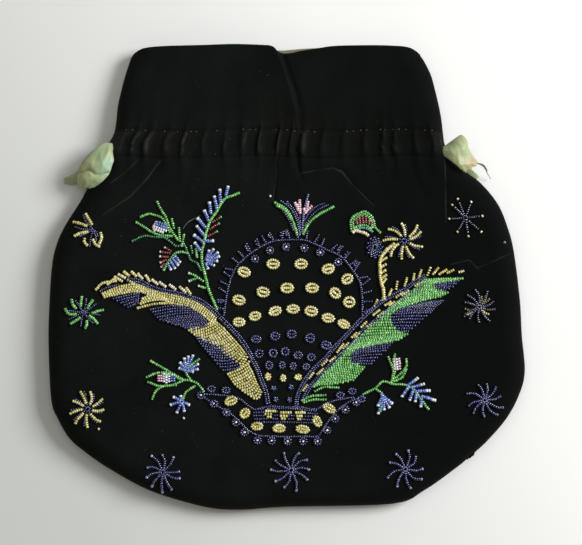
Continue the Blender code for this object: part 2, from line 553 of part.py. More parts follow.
def ribbon(name, row, from_left, top_run, under_run, surface):
    """A silk drawstring: cut end, over the shoulder, through the casing, and out under itself."""
    hidden = channel_run(row, from_left)
    top = [Vector((*on_bag(column, line), height * MM)) for column, line, height in top_run][::-1]
    under = [Vector((*on_bag(column, line), height * MM)) for column, line, height in under_run]
    path = top + hidden + under
    laid = len(top) - SLOT_STATIONS
    widths = [RIBBON_WIDTH] * (laid - 1) + [RIBBON_CRUSHED_WIDTH] * (len(path) - laid + 1)
    outside_again = len(top) + len(hidden) + SLOT_STATIONS

    def corner(i, j):
        """Corner i across the ribbon at station j."""
        ahead = (path[min(j + 1, len(path) - 1)] - path[max(j - 1, 0)]).normalized()
        across = Vector((0, 1, 0))
        if j < laid or j >= outside_again:
            across = Vector((-ahead.y, ahead.x, 0)).normalized()
            across *= 1 if across.y > 0 else -1
        place = path[j] + across * widths[j] * (i / RIBBON_STRIPS - 0.5)
        if j < laid:
            place.z = max(place.z, laid_height(surface, place))
        return place

    mesh = bpy.data.meshes.new(name)
    sheet = grid_sheet(RIBBON_STRIPS + 1, len(path), corner)
    sheet.to_mesh(mesh)
    sheet.free()
    made = new_object(name, mesh, BAG)
    solidify = made.modifiers.new("silk thickness", "SOLIDIFY")
    solidify.thickness = RIBBON_THICKNESS
    solidify.offset = 0
    return made


def strand_object(points, width, lift):
    """One threaded row of beads as a bar that is square on its edge, lying in the chart plane."""
    curve = bpy.data.curves.new("strand", "CURVE")
    curve.dimensions = "3D"
    curve.twist_mode = "Z_UP"
    curve.bevel_depth = width / 2
    curve.bevel_resolution = 0
    curve.use_fill_caps = True
    spline = curve.splines.new("POLY")
    spline.points.add(len(points) - 1)
    for knot, point in zip(spline.points, points):
        knot.co = (*on_bag(*point), lift, 1.0)
    drawn = new_object("strand", curve, CUTTERS)
    return meshed(drawn)


def meshed(drawn):
    """Replace a curve object by a closed mesh object."""
    mesh = evaluated_mesh(drawn)
    bpy.data.objects.remove(drawn)
    return new_object("strand", welded(mesh), CUTTERS)


def welded(mesh):
    """Merge a mesh's corners where they meet, and turn its faces outwards."""
    body = bmesh.new()
    body.from_mesh(mesh)
    bmesh.ops.remove_doubles(body, verts=body.verts, dist=WELD)
    bmesh.ops.recalc_face_normals(body, faces=body.faces)
    body.to_mesh(mesh)
    body.free()
    return mesh


def berry_object(column, row, half_length, half_width, height):
    """A close cluster of beads as a low dome."""
    body = bmesh.new()
    bmesh.ops.create_uvsphere(body, u_segments=BERRY_SIDES, v_segments=BERRY_LEVELS,
                              radius=BERRY_SWELL)
    x, y = on_bag(column, row)
    turned = Matrix.Rotation(math.radians(BERRY_TURN), 3, "Z")
    for corner in body.verts:
        corner.co = turned @ corner.co
        corner.co = Vector((x + corner.co.x * half_length * SQUARE_X,
                            y + corner.co.y * half_width * SQUARE_Y,
                            corner.co.z * height + BERRY_LIFT))
    mesh = bpy.data.meshes.new("berry")
    body.to_mesh(mesh)
    body.free()
    return new_object("berry", mesh, CUTTERS)


def rosette_mesh(name, column, row, half_length, half_width, tilt):
    """An oval ring of beads round a sunken filled centre."""
    body = bmesh.new()
    bmesh.ops.create_cone(body, cap_ends=True, segments=ROSETTE_SIDES, radius1=1.0, radius2=1.0,
                          depth=1.0)
    top = max(body.faces, key=lambda face: face.calc_center_median().z)
    bmesh.ops.inset_region(body, faces=[top], thickness=ROSETTE_RING, use_even_offset=True)
    x, y = on_bag(column, row)
    turn = math.radians(tilt)
    for corner in body.verts:
        inside = math.hypot(corner.co.x, corner.co.y) < 1 - ROSETTE_RING / 2
        height = BEAD * (corner.co.z + 0.5) * (ROSETTE_CENTRE if inside else 1.0)
        across, along = corner.co.x * half_length, corner.co.y * half_width
        corner.co = Vector((x + (across * math.cos(turn) - along * math.sin(turn)) * SQUARE_X,
                            y + (across * math.sin(turn) + along * math.cos(turn)) * SQUARE_Y,
                            height))
    mesh = bpy.data.meshes.new(name)
    body.to_mesh(mesh)
    body.free()
    return mesh


def field_object(key_rows, rows_a_gap):
    """A field of bead rows side by side, each row a ridge, between its key rows."""
    rows = rows_a_gap * (len(key_rows) - 1)
    ways = [smooth_line(row, FIELD_STEPS)[::max(len(row) - 1, 1)] for row in key_rows]

    def corner(i, j):
        """Ridges stand on the odd lines across the field."""
        place = i / 2 / rows_a_gap
        lower = min(int(place), len(ways) - 2)
        point = ways[lower][j] + (ways[lower + 1][j] - ways[lower][j]) * (place - lower)
        return Vector((*on_bag(*point), BEAD if i % 2 else ROW_VALLEY))

    body = grid_sheet(2 * rows + 1, FIELD_STEPS + 1, corner)
    raised = bmesh.ops.extrude_face_region(body, geom=body.faces[:])["geom"]
    for item in raised:
        if isinstance(item, bmesh.types.BMVert):
            item.co.z = 0.0
    bmesh.ops.recalc_face_normals(body, faces=body.faces)
    mesh = bpy.data.meshes.new("field")
    body.to_mesh(mesh)
    body.free()
    return new_object("field", mesh, CUTTERS)


def joined_mesh(name, pieces):
    """The union of several closed bodies as one mesh; the pieces are used up."""
    first, others = pieces[0], pieces[1:]
    if others:
        sewn = bpy.data.collections.new(name)
        bpy.context.scene.collection.children.link(sewn)
        for piece in others:
            sewn.objects.link(piece)
        union = first.modifiers.new("union", "BOOLEAN")
        union.operation = "UNION"
        union.operand_type = "COLLECTION"
        union.collection = sewn
    mesh = evaluated_mesh(first)
    mesh.name = name
    for piece in pieces:
        bpy.data.objects.remove(piece)
    if others:
        bpy.data.collections.remove(sewn)
    return mesh


def sew_on(name, mesh, surface, stuff):
    """Lay a flat bead motif on the velvet, its underside just clear of the cloth."""
    lowest = min(corner.co.z for corner in mesh.vertices)
    for corner in mesh.vertices:
        above = Vector((corner.co.x, corner.co.y, BAG_HEIGHT))
        hit = surface.ray_cast(above, Vector((0, 0, -1)))[0]
        corner.co.z += hit.z + SEWN_GAP - lowest
    motif = new_object(name, mesh, BAG)
    motif.data.materials.clear()
    motif.data.materials.append(stuff)
    return motif


def strands(lines, width=BEAD):
    """Strand bodies, each a hair higher than the last so that no two crests coincide."""
    return [strand_object(line, width, STRAND_STAGGER * index)
            for index, line in enumerate(lines)]


def star_mesh(name, column, row, radius, first_angle):
    """Curved rays of beads round a middle, as one low flat body."""
    body = bmesh.new()
    corners = STAR_RAYS * len(STAR_PROFILE)
    bmesh.ops.create_circle(body, cap_ends=True, segments=corners, radius=1.0)
    x, y = on_bag(column, row)
    for index, corner in enumerate(body.verts):
        ray, part = divmod(index, len(STAR_PROFILE))
        angle = math.radians(first_angle + 360 * ray / STAR_RAYS)
        reach, turn = STAR_PROFILE[part]
        angle += turn
        corner.co = Vector((x + radius * reach * math.cos(angle) * SQUARE_X,
                            y + radius * reach * math.sin(angle) * SQUARE_Y, 0))
    raised = bmesh.ops.extrude_face_region(body, geom=body.faces[:])["geom"]
    for item in raised:
        if isinstance(item, bmesh.types.BMVert):
            item.co.z = BEAD
    bmesh.ops.recalc_face_normals(body, faces=body.faces)
    mesh = bpy.data.meshes.new(name)
    body.to_mesh(mesh)
    body.free()
    return mesh


def arch_lines():
    """The arch and the short rays that stand on its outside."""
    line = smooth_line(ARCH, 3)
    lines = [[tuple(point) for point in line[::2]]]
    steps = np.linspace(1, len(line) - 2, ARCH_FRINGE_COUNT)
    for step in steps:
        index = int(step)
        point, ahead = line[index], line[index + 1] - line[index - 1]
        outward = np.array((ahead[1], -ahead[0])) / np.hypot(*ahead)
        lines.append([tuple(point - outward), tuple(point + outward * ARCH_FRINGE_LENGTH)])
    return lines


BAG = bpy.data.collections.new("reticule")
CUTTERS = bpy.data.collections.new("cutters")


def sew_small_rosettes(front, surface):
    """Join the many small rosettes over the basket to the velvet that carries them."""
    rosettes = bmesh.new()
    for rosette in NAVY_ROSETTES:
        mesh = rosette_mesh("small_rosette", *rosette)
        lowest = min(corner.co.z for corner in mesh.vertices)
        for corner in mesh.vertices:
            above = Vector((corner.co.x, corner.co.y, BAG_HEIGHT))
            corner.co.z += surface.ray_cast(above, Vector((0, 0, -1)))[0].z - SEWN_DEPTH - lowest
        rosettes.from_mesh(mesh)
        bpy.data.meshes.remove(mesh)
    together = bpy.data.meshes.new("small_rosettes")
    rosettes.to_mesh(together)
    rosettes.free()
    sewn = new_object("small_rosettes", together, CUTTERS)
    union = front.modifiers.new("small rosettes", "BOOLEAN")
    union.operation = "UNION"
    union.solver = "FAST"
    union.object = sewn
    mesh = evaluated_mesh(front)
    front.modifiers.clear()
    front.data = mesh
    bpy.data.objects.remove(sewn)


def clear_scene():
    """Empty the scene before modelling."""
    for thing in list(bpy.data.objects):
        bpy.data.objects.remove(thing)
    bpy.context.scene.collection.children.link(BAG)
    bpy.context.scene.collection.children.link(CUTTERS)


def beadwork(surface, stuffs):
    """Sew every bead motif to the front."""
    for name, (column, row, radius, angle) in STARS.items():
        colour = name.split("_")[1]
        sew_on(name, star_mesh(name, column, row, radius, angle), surface, stuffs[colour])
    for index, rosette in enumerate(GOLD_ROSETTES, 1):
        name = f"gold_rosette_{index}"
        sew_on(name, rosette_mesh(name, *rosette), surface, stuffs["gold"])
    for index, oval in enumerate(BASKET_OVALS, 1):
        name = f"basket_oval_{index}"
        sew_on(name, rosette_mesh(name, *oval), surface, stuffs["gold"])
    fields = {"left_plume_gold": ([(LEFT_GOLD_BAND, 5), (LEFT_GOLD_FAN, 2), (LEFT_GOLD_TIP, 3)], "gold"),
              "left_plume_navy_tip": ([(LEFT_NAVY_TIP, 2)], "navy"),
              "left_plume_navy_middle": ([(LEFT_NAVY_MIDDLE, 4)], "navy"),
              "left_plume_navy_foot": ([(LEFT_NAVY_FOOT, 2)], "navy"),
              "right_plume_green": ([(RIGHT_GREEN, 2)], "green"),
              "right_plume_leaf": ([(RIGHT_GREEN_LEAF, 3)], "green"),
              "right_plume_navy_tip": ([(RIGHT_NAVY_TIP, 3)], "navy"),
              "right_plume_navy_middle": ([(RIGHT_NAVY_MIDDLE, 2)], "navy"),
              "right_plume_navy_foot": ([(RIGHT_NAVY_FOOT, 2)], "navy")}
    for name, (parts, colour) in fields.items():
        pieces = [field_object(key_rows, rows) for key_rows, rows in parts]
        sew_on(name, joined_mesh(name, pieces), surface, stuffs[colour])
    line_motifs = {
        "left_plume_spine": ((LEFT_SPINE,) + LEFT_FRINGE, (), "navy"),
        "right_plume_spine": ((RIGHT_SPINE_UPPER, RIGHT_SPINE_LOWER) + RIGHT_FRINGE
                              + RIGHT_GOLD_DASHES, (), "navy"),
        "arch": (arch_lines(), ARCH_BERRIES, "navy"),
        "basket": ((BASKET_RIM, BASKET_HEM, BASKET_BAND) + BASKET_STAYS, BASKET_BERRIES, "navy"),
        "tulip": (TULIP_STRANDS, (), "green"),
        "sprig_upper_left": (UPPER_LEFT_STRANDS, UPPER_LEFT_BERRIES, "green"),
        "sprig_lower_left": (LOWER_LEFT_STRANDS, LOWER_LEFT_BERRIES, "green"),
        "sprig_lower_right": (LOWER_RIGHT_STRANDS, LOWER_RIGHT_BERRIES, "green"),
        "gold_twig": (TWIG_STRANDS, (TWIG_ROSE,), "gold")}
    for name, (lines, clusters, colour) in line_motifs.items():
        pieces = strands(lines)
        for cluster in clusters:
            column, row, half_length, half_width = (*cluster, *BERRY_SQUARES)[:4]
            pieces.append(berry_object(column, row, half_length, half_width, BERRY))
        sew_on(name, joined_mesh(name, pieces), surface, stuffs[colour])


def build():
    """Make every piece of the reticule."""
    clear_scene()
    velvet = material("black_velvet", LINEAR_COLOURS["velvet"], ROUGHNESS["velvet"])
    silk = material("olive_silk", LINEAR_COLOURS["lining"], ROUGHNESS["lining"])
    ribbon_silk = material("green_silk_ribbon", LINEAR_COLOURS["ribbon"], ROUGHNESS["ribbon"])
    glass = {colour: material(f"{colour}_glass_beads", linear, ROUGHNESS["glass"])
             for colour, linear in STAR_COLOURS.items()}
    front, back = velvet_panels()
    for panel in (front, back):
        panel.data.materials.append(velvet)
    bpy.context.view_layer.update()
    surface = BVHTree.FromObject(front, bpy.context.evaluated_depsgraph_get())
    for panel in lining_panels():
        panel.data.materials.append(silk)
    left = ribbon("drawstring_left", LEFT_RIBBON_ROW, True, LEFT_RIBBON_TOP, LEFT_RIBBON_UNDER,
                  surface)
    right = ribbon("drawstring_right", RIGHT_RIBBON_ROW, False, RIGHT_RIBBON_TOP,
                   RIGHT_RIBBON_UNDER, surface)
    left.data.materials.append(ribbon_silk)
    right.data.materials.append(ribbon_silk)
    beadwork(surface, glass)
    sew_small_rosettes(front, surface)


build()
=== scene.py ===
"""A black velvet reticule with gathered frill, silk drawstrings and flowers in seed beads, lying flat."""

import math

import bpy
import numpy as np
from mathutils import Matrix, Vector
from mathutils.bvhtree import BVHTree


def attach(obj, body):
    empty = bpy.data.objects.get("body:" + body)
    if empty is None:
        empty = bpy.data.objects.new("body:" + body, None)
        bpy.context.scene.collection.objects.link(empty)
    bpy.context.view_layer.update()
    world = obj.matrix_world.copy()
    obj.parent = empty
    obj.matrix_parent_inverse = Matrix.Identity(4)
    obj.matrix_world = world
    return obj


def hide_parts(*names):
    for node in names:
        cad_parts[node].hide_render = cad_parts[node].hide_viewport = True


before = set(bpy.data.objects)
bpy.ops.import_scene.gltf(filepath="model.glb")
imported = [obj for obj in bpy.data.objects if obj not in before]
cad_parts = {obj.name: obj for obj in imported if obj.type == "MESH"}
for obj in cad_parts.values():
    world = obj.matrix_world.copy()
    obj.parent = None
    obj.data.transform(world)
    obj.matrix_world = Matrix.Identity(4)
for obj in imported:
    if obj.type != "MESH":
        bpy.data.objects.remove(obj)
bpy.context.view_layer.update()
MM = 0.001

# The chart: one square is one photo pixel, so a place in these lists is a column and a row
SQUARE_X = 0.42589 * MM
SQUARE_Y = 0.42567 * MM
CHART_CENTRE = (286.75, 277.25)
PHOTO_SIZE = (582, 545)

# Heights of the lying bag
SEAM_HEIGHT = 4.4 * MM
MOUTH_HEIGHT = 9.6 * MM
NECK_HEIGHT = 11.4 * MM
BODY_HEIGHT = 12.0 * MM
EDGE_ROLL = 9.0 * MM
SIDE_CROWN = 0.07
VELVET_THICKNESS = 0.7 * MM
HEM_RADIUS = 1.0 * MM
HEM_ROWS = 2.4
LINING_GAP = 1.5 * MM
LINING_THICKNESS = 0.3 * MM
LINING_INSET = 0.012
LINING_SHORTER = 0.015
LINING_RIB = 0.22 * MM
LINING_RIB_END = 75
LINING_APART = 0.35 * MM

# Where the cloth changes down the bag
MOUTH_ROW = 50.0
CASING_TOP = 127.0
CASING_MIDDLE = 142.0
CASING_BOTTOM = 158.0
SAG_TOP = 250.0
CORNER_ROW = 456.0
CORNER_REACH = 14
LEVEL_ROWS = (MOUTH_ROW, CASING_TOP, CASING_BOTTOM, 290, 400, CORNER_ROW)
LEVELS = (MOUTH_HEIGHT, NECK_HEIGHT, NECK_HEIGHT, BODY_HEIGHT, BODY_HEIGHT, NECK_HEIGHT)

LEFT_SEAM = ((135, 50), (130.5, 56), (127.5, 65), (124, 76), (120.5, 90), (117.3, 104), (115.5, 120),
             (113.5, 132), (109.5, 140), (104, 150),
             (95, 170), (80, 200), (66, 222), (57, 240), (51, 264), (48, 310), (47.4, 345),
             (50, 400), (57, 420), (69, 440), (88, 456))
RIGHT_SEAM = ((418, 50), (423, 57), (427.5, 65), (432, 75), (436, 90), (440, 107), (442.3, 120),
              (443.7, 132), (447, 148), (462, 167),
              (482, 183), (499, 204), (509, 228), (515, 252), (521, 300), (523, 336), (526, 372),
              (520, 396), (507, 420), (486, 444), (472, 456))
BOTTOM_SEAM = ((88, 456), (109, 470), (150, 492), (204, 508), (240, 511), (285, 508),
               (392, 505), (424, 492), (458, 468), (472, 456))
FRONT_MOUTH = ((135, 51.5), (140, 49), (150, 46.5), (170, 45), (205, 44), (235, 43), (262, 44),
               (271, 45), (275, 47.5), (278, 51), (284, 53), (292, 52.5), (300, 50.5), (318, 47.5),
               (335, 45), (372, 44.3), (395, 45), (405, 46), (412, 48), (418, 51))
BACK_MOUTH = ((135, 51.5), (140, 49.5), (150, 47), (170, 45.5), (205, 45), (235, 44), (262, 45),
              (278, 48.5), (290, 48), (300, 47), (318, 46), (335, 45.5), (372, 45), (395, 45.5),
              (405, 46.5), (412, 48.5), (418, 51.5))

# Gathers: each fold's crest where it crosses the casing, with its strength
GATHER_CRESTS = ((122, 0.8), (134, 0.9), (147, 1.0), (168, 0.7), (184, 1.0), (204, 0.7), (225, 0.8),
                 (242, 0.9), (258, 0.8), (277, 1.0), (290, 0.6), (302, 1.0), (323, 0.7), (345, 0.5),
                 (367, 0.7), (385, 1.0), (396, 0.9), (417, 0.8), (433, 0.9))
GATHER_DEPTH = 1.6 * MM
GATHER_ROWS = (45, 95, 112, 120, 126, 130, 134, 150, 156, 160, 170, 185, 205)
GATHER_SHARES = (0.02, 0.04, 0.10, 0.16, 0.45, 0.6, 1.0, 1.0, 0.6, 0.45, 0.2, 0.06, 0.0)
FAN_OUT = 0.12
SLOW_WAVER = 1.6
QUICK_WAVER = 1.1
PINCH_ROWS = (90, 128, 160, 190)
PINCH_POWERS = (1.0, 4.5, 4.5, 1.0)
STITCH_ROWS = (130.5, 157.5)
STITCH_DIP = 0.55 * MM
STITCH_WIDTH = 1.7

# The pleat where the frill's left half lies over its right half
PLEAT_FOLD = ((277, 44), (277, 50), (281, 59), (286, 74), (292, 92), (296.6, 110), (298, 126),
              (302, 140))
PLEAT_STEP = 1.5 * MM
PLEAT_REACH = 26.0
PLEAT_END = 140
PLEAT_FADE = 40
PLEAT_RIM = 1.6
PLEAT_HOLLOW = 0.45

# Soft creases below the casing: points, depth in mm and half width in squares
CREASES = ((((277, 150), (277, 160), (275, 178), (273, 200)), 0.9, 3.2),
           (((297, 150), (298, 165), (301, 178)), 0.8, 3.5),
           (((300, 173), (318, 171), (339, 168), (350, 181), (358, 192), (372, 205)), 0.6, 2.8),
           (((140, 157), (131, 168), (114, 180)), 0.6, 2.6),
           (((163, 161), (150, 178), (129, 200)), 0.6, 2.6),
           (((193, 155), (188, 178), (182, 205)), 0.35, 4.0),
           (((408, 153), (414, 172), (424, 196)), 0.4, 5.0),
           (((445, 162), (445, 180), (445, 220)), 0.4, 2.6),
           (((477, 268), (494, 261), (511, 253)), 0.4, 2.8))

# Painted highlight: thin pale lines along the creases
CREASE_HIGHLIGHT_LINES = (((138, 160), (126, 172), (111, 183)), ((160, 161), (147, 179), (131, 196), (103, 215)),
                ((277, 162), (276, 180), (273, 200)),
                ((302, 173), (318, 170), (333, 168), (342, 172), (351, 183), (374, 206)),
                ((441, 140), (445, 165), (446, 222)), ((452, 264), (469, 260), (478, 269)),
                ((477, 268), (494, 261), (511, 253)))
CREASE_HIGHLIGHT_HALF_WIDTH = 0.9

# Glass and cloth colours, as seen in the photo
VELVET_BLACK = "#020403"
VELVET_NAP = "#131916"
VELVET_WORN = "#1B1610"
# Painted highlight grey, for the gather crests and the thin crease lines
VELVET_PAINTED_HIGHLIGHT = "#5A5A54"
LINT_GREY = "#77736A"
LINING_OLIVE = "#8E8C6E"
STITCH_BEIGE = "#7C745F"
GLASS = {"gold": ("#DED68A", "#C8BC68", "#EEE8AE"), "straw": ("#ECE4A2", "#DAD084", "#F6F0BE"),
         "navy": ("#1B225A", "#151A46", "#2F3878"),
         "lavender": ("#7A82B0", "#646CA0", "#989EC4"), "blue": ("#5F78C4", "#4F67B0", "#8199DA"),
         "white": ("#EEF2FF", "#E0E6FA", "#FAFBFF"), "green": ("#70BE60", "#58A84C", "#9ADC88"),
         "moss": ("#357A4C", "#2A673E", "#468E5C"), "pink": ("#E2B8C8", "#D2A4B8", "#EECCD8"),
         "cream": ("#E8DCB8", "#D8C8A0", "#F0E8D0"), "red": ("#7C2C28", "#6A2420", "#8C3832"),
         "turquoise": ("#5CAAA2", "#4C9890", "#70BAB2"), "brown": ("#7A7038", "#695F2E", "#8A8048"),
         "dark": ("#1A1E40", "#151934", "#23294C")}


def linear(code):
    """An sRGB colour code as linear values."""
    values = [int(code[place:place + 2], 16) / 255 for place in (1, 3, 5)]
    return [value / 12.92 if value <= 0.04045 else ((value + 0.055) / 1.055) ** 2.4 for value in values]


def on_bag(column, row):
    """The real place of a chart point in the plan."""
    return ((column - CHART_CENTRE[0]) * SQUARE_X, (CHART_CENTRE[1] - row) * SQUARE_Y)


def on_chart(x, y):
    """The chart point of a real place in the plan."""
    return x / SQUARE_X + CHART_CENTRE[0], CHART_CENTRE[1] - y / SQUARE_Y


def smooth_line(points, steps=6):
    """A Catmull-Rom curve through the points."""
    known = np.array(points, dtype=float)
    padded = np.vstack([2 * known[0] - known[1], known, 2 * known[-1] - known[-2]])
    line = []
    for before, start, end, after in zip(padded, padded[1:], padded[2:], padded[3:]):
        for step in range(steps):
            t = step / steps
            line.append(0.5 * (2 * start + (end - before) * t
                               + (2 * before - 5 * start + 4 * end - after) * t ** 2
                               + (3 * start - before - 3 * end + after) * t ** 3))
    line.append(known[-1])
    return np.array(line)


LEFT_LINE = smooth_line(LEFT_SEAM)
RIGHT_LINE = smooth_line(RIGHT_SEAM)
BOTTOM_LINE = smooth_line(BOTTOM_SEAM)
OUTLINE = np.vstack([LEFT_LINE, BOTTOM_LINE[1:], RIGHT_LINE[::-1][1:]])


def line_distance(columns, rows, line):
    """How far chart points lie from a line, in squares."""
    points = np.stack([columns, rows], axis=-1)
    nearest = np.full(points.shape[:-1], 1e9)
    for start, end in zip(line[:-1], line[1:]):
        along = end - start
        share = np.clip(((points - start) @ along) / max(along @ along, 1e-9), 0, 1)
        gap = points - start - share[..., None] * along
        nearest = np.minimum(nearest, np.hypot(gap[..., 0], gap[..., 1]))
    return nearest


def seam_columns(rows):
    """The columns of the left and right side seams at chart rows."""
    return [np.interp(rows, line[:, 1], line[:, 0]) for line in (LEFT_LINE, RIGHT_LINE)]


def edge_roll(columns, rows):
    """0 at the seam and 1 where the cloth lies flat, rising as a quarter round."""
    share = np.clip(line_distance(columns, rows, OUTLINE) * SQUARE_X / EDGE_ROLL, 0, 1)
    return np.sqrt(1 - (1 - share) ** 2)


def plan(across, rows, mouth_line):
    """Chart places of the cloth at shares across the bag and chart rows."""
    left, right = seam_columns(rows)
    bottom = LEFT_LINE[-1, 0] + (RIGHT_LINE[-1, 0] - LEFT_LINE[-1, 0]) * across
    sag = np.interp(bottom, BOTTOM_LINE[:, 0], BOTTOM_LINE[:, 1]) - CORNER_ROW
    top = LEFT_LINE[0, 0] + (RIGHT_LINE[0, 0] - LEFT_LINE[0, 0]) * across
    rise = np.interp(top, mouth_line[:, 0], mouth_line[:, 1]) - MOUTH_ROW
    sag_share = np.clip((rows - SAG_TOP) / (CORNER_ROW - SAG_TOP), 0, None) ** 2
    rise_share = np.clip((CASING_TOP - rows) / (CASING_TOP - MOUTH_ROW), 0, None) ** 2
    return left + (right - left) * across, rows + sag * sag_share + rise * rise_share


def gathers(columns, rows):
    """The height of the gathers at chart points, from 0 in a valley to 1 on a strong crest."""
    fanned = np.where(rows > CASING_MIDDLE, CASING_MIDDLE + FAN_OUT * (rows - CASING_MIDDLE), rows)
    left, right = seam_columns(fanned)
    first, last = seam_columns(CASING_MIDDLE)
    drawn = first + (columns - left) / (right - left) * (last - first)
    drawn += SLOW_WAVER * np.sin(rows / 17 + columns / 31) + QUICK_WAVER * np.sin(rows / 6.5 + columns * 0.6)
    crests, strengths = zip(*GATHER_CRESTS)
    phase = np.interp(drawn, crests, np.arange(len(crests)))
    strength = np.interp(drawn, crests, strengths)
    fold = (0.5 + 0.5 * np.cos(2 * math.pi * phase)) ** np.interp(rows, PINCH_ROWS, PINCH_POWERS)
    return fold * strength * np.interp(rows, GATHER_ROWS, GATHER_SHARES)


def pleat(columns, rows):
    """How far the frill's left half stands over its right half."""
    fold = np.array(PLEAT_FOLD)
    behind = np.interp(rows, fold[:, 1], fold[:, 0]) - columns
    fade = np.clip((PLEAT_END - rows) / PLEAT_FADE, 0, 1)
    rim = np.clip(behind / PLEAT_RIM + 0.5, 0, 1)
    reach = np.clip(1 - behind / PLEAT_REACH, 0, 1) ** 1.5
    shade = -PLEAT_HOLLOW * np.exp(-((behind + 3.5) / 3.0) ** 2) * (behind < 0)
    return (rim * np.where(behind > -1, reach, 0) + shade) * fade


def seam_waver(columns):
    """How far the casing's hand-sewn seams stray from a straight row, in squares."""
    return 1.2 * np.sin(columns / 23)


def creases(columns, rows):
    """Soft valleys in the cloth below the casing."""
    depth = np.zeros_like(columns)
    for points, deep, wide in CREASES:
        away = line_distance(columns, rows, smooth_line(points, 4)) / wide
        depth -= deep * MM * np.exp(-away ** 2) * (1 - 0.5 * away)
    return depth


def front_height(columns, rows):
    """The height of the front's outer face over the table."""
    level = np.interp(rows, LEVEL_ROWS, LEVELS)
    left, right = seam_columns(rows)
    crown = SIDE_CROWN * (2 * (columns - left) / (right - left) - 1) ** 2
    level = level * (1 - crown * np.clip((rows - CASING_BOTTOM) / 30, 0, 1))
    level += GATHER_DEPTH * gathers(columns, rows) + PLEAT_STEP * pleat(columns, rows)
    level += creases(columns, rows)
    for row in STITCH_ROWS:
        level -= STITCH_DIP * np.exp(-((rows - row - seam_waver(columns)) / STITCH_WIDTH) ** 2)
    return SEAM_HEIGHT + (level - SEAM_HEIGHT) * edge_roll(columns, rows)


def back_height(columns, rows):
    """The height of the back's outer face, flat on the table inside its rolled edge."""
    return SEAM_HEIGHT * (1 - edge_roll(columns, rows))


def dense_ends(count, reach):
    """Shares from 0 to 1 with extra lines near both ends."""
    ends = reach * np.array((0.02, 0.06, 0.12, 0.2, 0.32, 0.46, 0.64, 0.82))
    return np.unique(np.round(np.concatenate([np.linspace(0, 1, count), ends, 1 - ends]), 6))


def corner_rows(count):
    """Chart rows that close up towards the bottom seam."""
    return CORNER_ROW - CORNER_REACH * (1 - np.linspace(0, 1, count)[1:]) ** 1.6


def new_mesh(name, corners, faces):
    """A mesh object in the scene's collection."""
    mesh = bpy.data.meshes.new(name)
    mesh.from_pydata([tuple(corner) for corner in corners], [], [tuple(face) for face in faces])
    mesh.validate()
    made = bpy.data.objects.new(name, mesh)
    bpy.context.scene.collection.objects.link(made)
    return made


def grid_faces(count, wide, closed=False, looped=False):
    """The faces between a grid's rows; closed joins each row's ends, looped the last row to the first."""
    faces = []
    for line in range(count if looped else count - 1):
        here, after = line * wide, (line + 1) % count * wide
        for side in range(wide if closed else wide - 1):
            following = (side + 1) % wide
            faces.append((here + side, here + following, after + following, after + side))
    return faces


def grid_object(name, places, closed=False):
    """A smooth sheet through a grid of places, shape (rows, columns, 3)."""
    made = new_mesh(name, places.reshape(-1, 3), grid_faces(*places.shape[:2], closed))
    made.data.polygons.foreach_set("use_smooth", [True] * len(made.data.polygons))
    return made


def thicken(piece, thickness):
    """Give a sheet its real thickness, inwards, as a closed piece."""
    solidify = piece.modifiers.new("cloth thickness", "SOLIDIFY")
    solidify.thickness = thickness
    solidify.offset = -1
    bpy.ops.object.select_all(action="DESELECT")
    bpy.context.view_layer.objects.active = piece
    piece.select_set(True)
    bpy.ops.object.modifier_apply(modifier=solidify.name)


def velvet_panel(name, shares, rows, mouth, height, inward):
    """One panel of velvet with its hem, through shares across the bag and chart rows."""
    across, down = np.meshgrid(shares, rows)
    columns, lines = plan(across, down, smooth_line(mouth))
    x, y = on_bag(columns, lines)
    places = np.stack([x, y, height(columns, lines)], axis=-1)
    return grid_object(name, np.concatenate([hem_rows(places[0], inward), places]))


def velvet_front():
    """The front panel, its gathers, pleat and creases in the cloth itself."""
    shares = np.unique(np.concatenate([dense_ends(150, 0.05), np.linspace(0.42, 0.56, 46)]))
    rows = np.concatenate([np.linspace(MOUTH_ROW + HEM_ROWS, 120, 36), np.linspace(121.5, 168, 36),
                           np.linspace(170, 225, 28), np.linspace(229, 440, 56), corner_rows(15)])
    piece = velvet_panel("velvet_front_cloth", shares, rows, FRONT_MOUTH, front_height, -1)
    piece.data.flip_normals()
    return piece


def velvet_back():
    """The plain back panel."""
    rows = np.concatenate([np.linspace(MOUTH_ROW + HEM_ROWS, 225, 40), np.linspace(229, 440, 40),
                           corner_rows(13)])
    return velvet_panel("velvet_back_cloth", dense_ends(70, 0.05), rows, BACK_MOUTH, back_height, 1)


def hem_rows(edge, inward):
    """The turned-in edge of a panel's mouth, from inside to the outer face."""
    lines = []
    reach = np.minimum(*[np.hypot(edge[:, 0] - end[0], edge[:, 1] - end[1]) for end in (edge[0], edge[-1])])
    radius = HEM_RADIUS * np.clip(reach / (4 * HEM_RADIUS), 0.04, 1) ** 0.5
    for angle in np.linspace(170, 15, 8):
        turned = math.radians(angle)
        line = edge.copy()
        line[:, 1] += radius * math.sin(turned)
        line[:, 2] += inward * radius * (1 - math.cos(turned))
        lines.append(line)
    return np.array(lines)


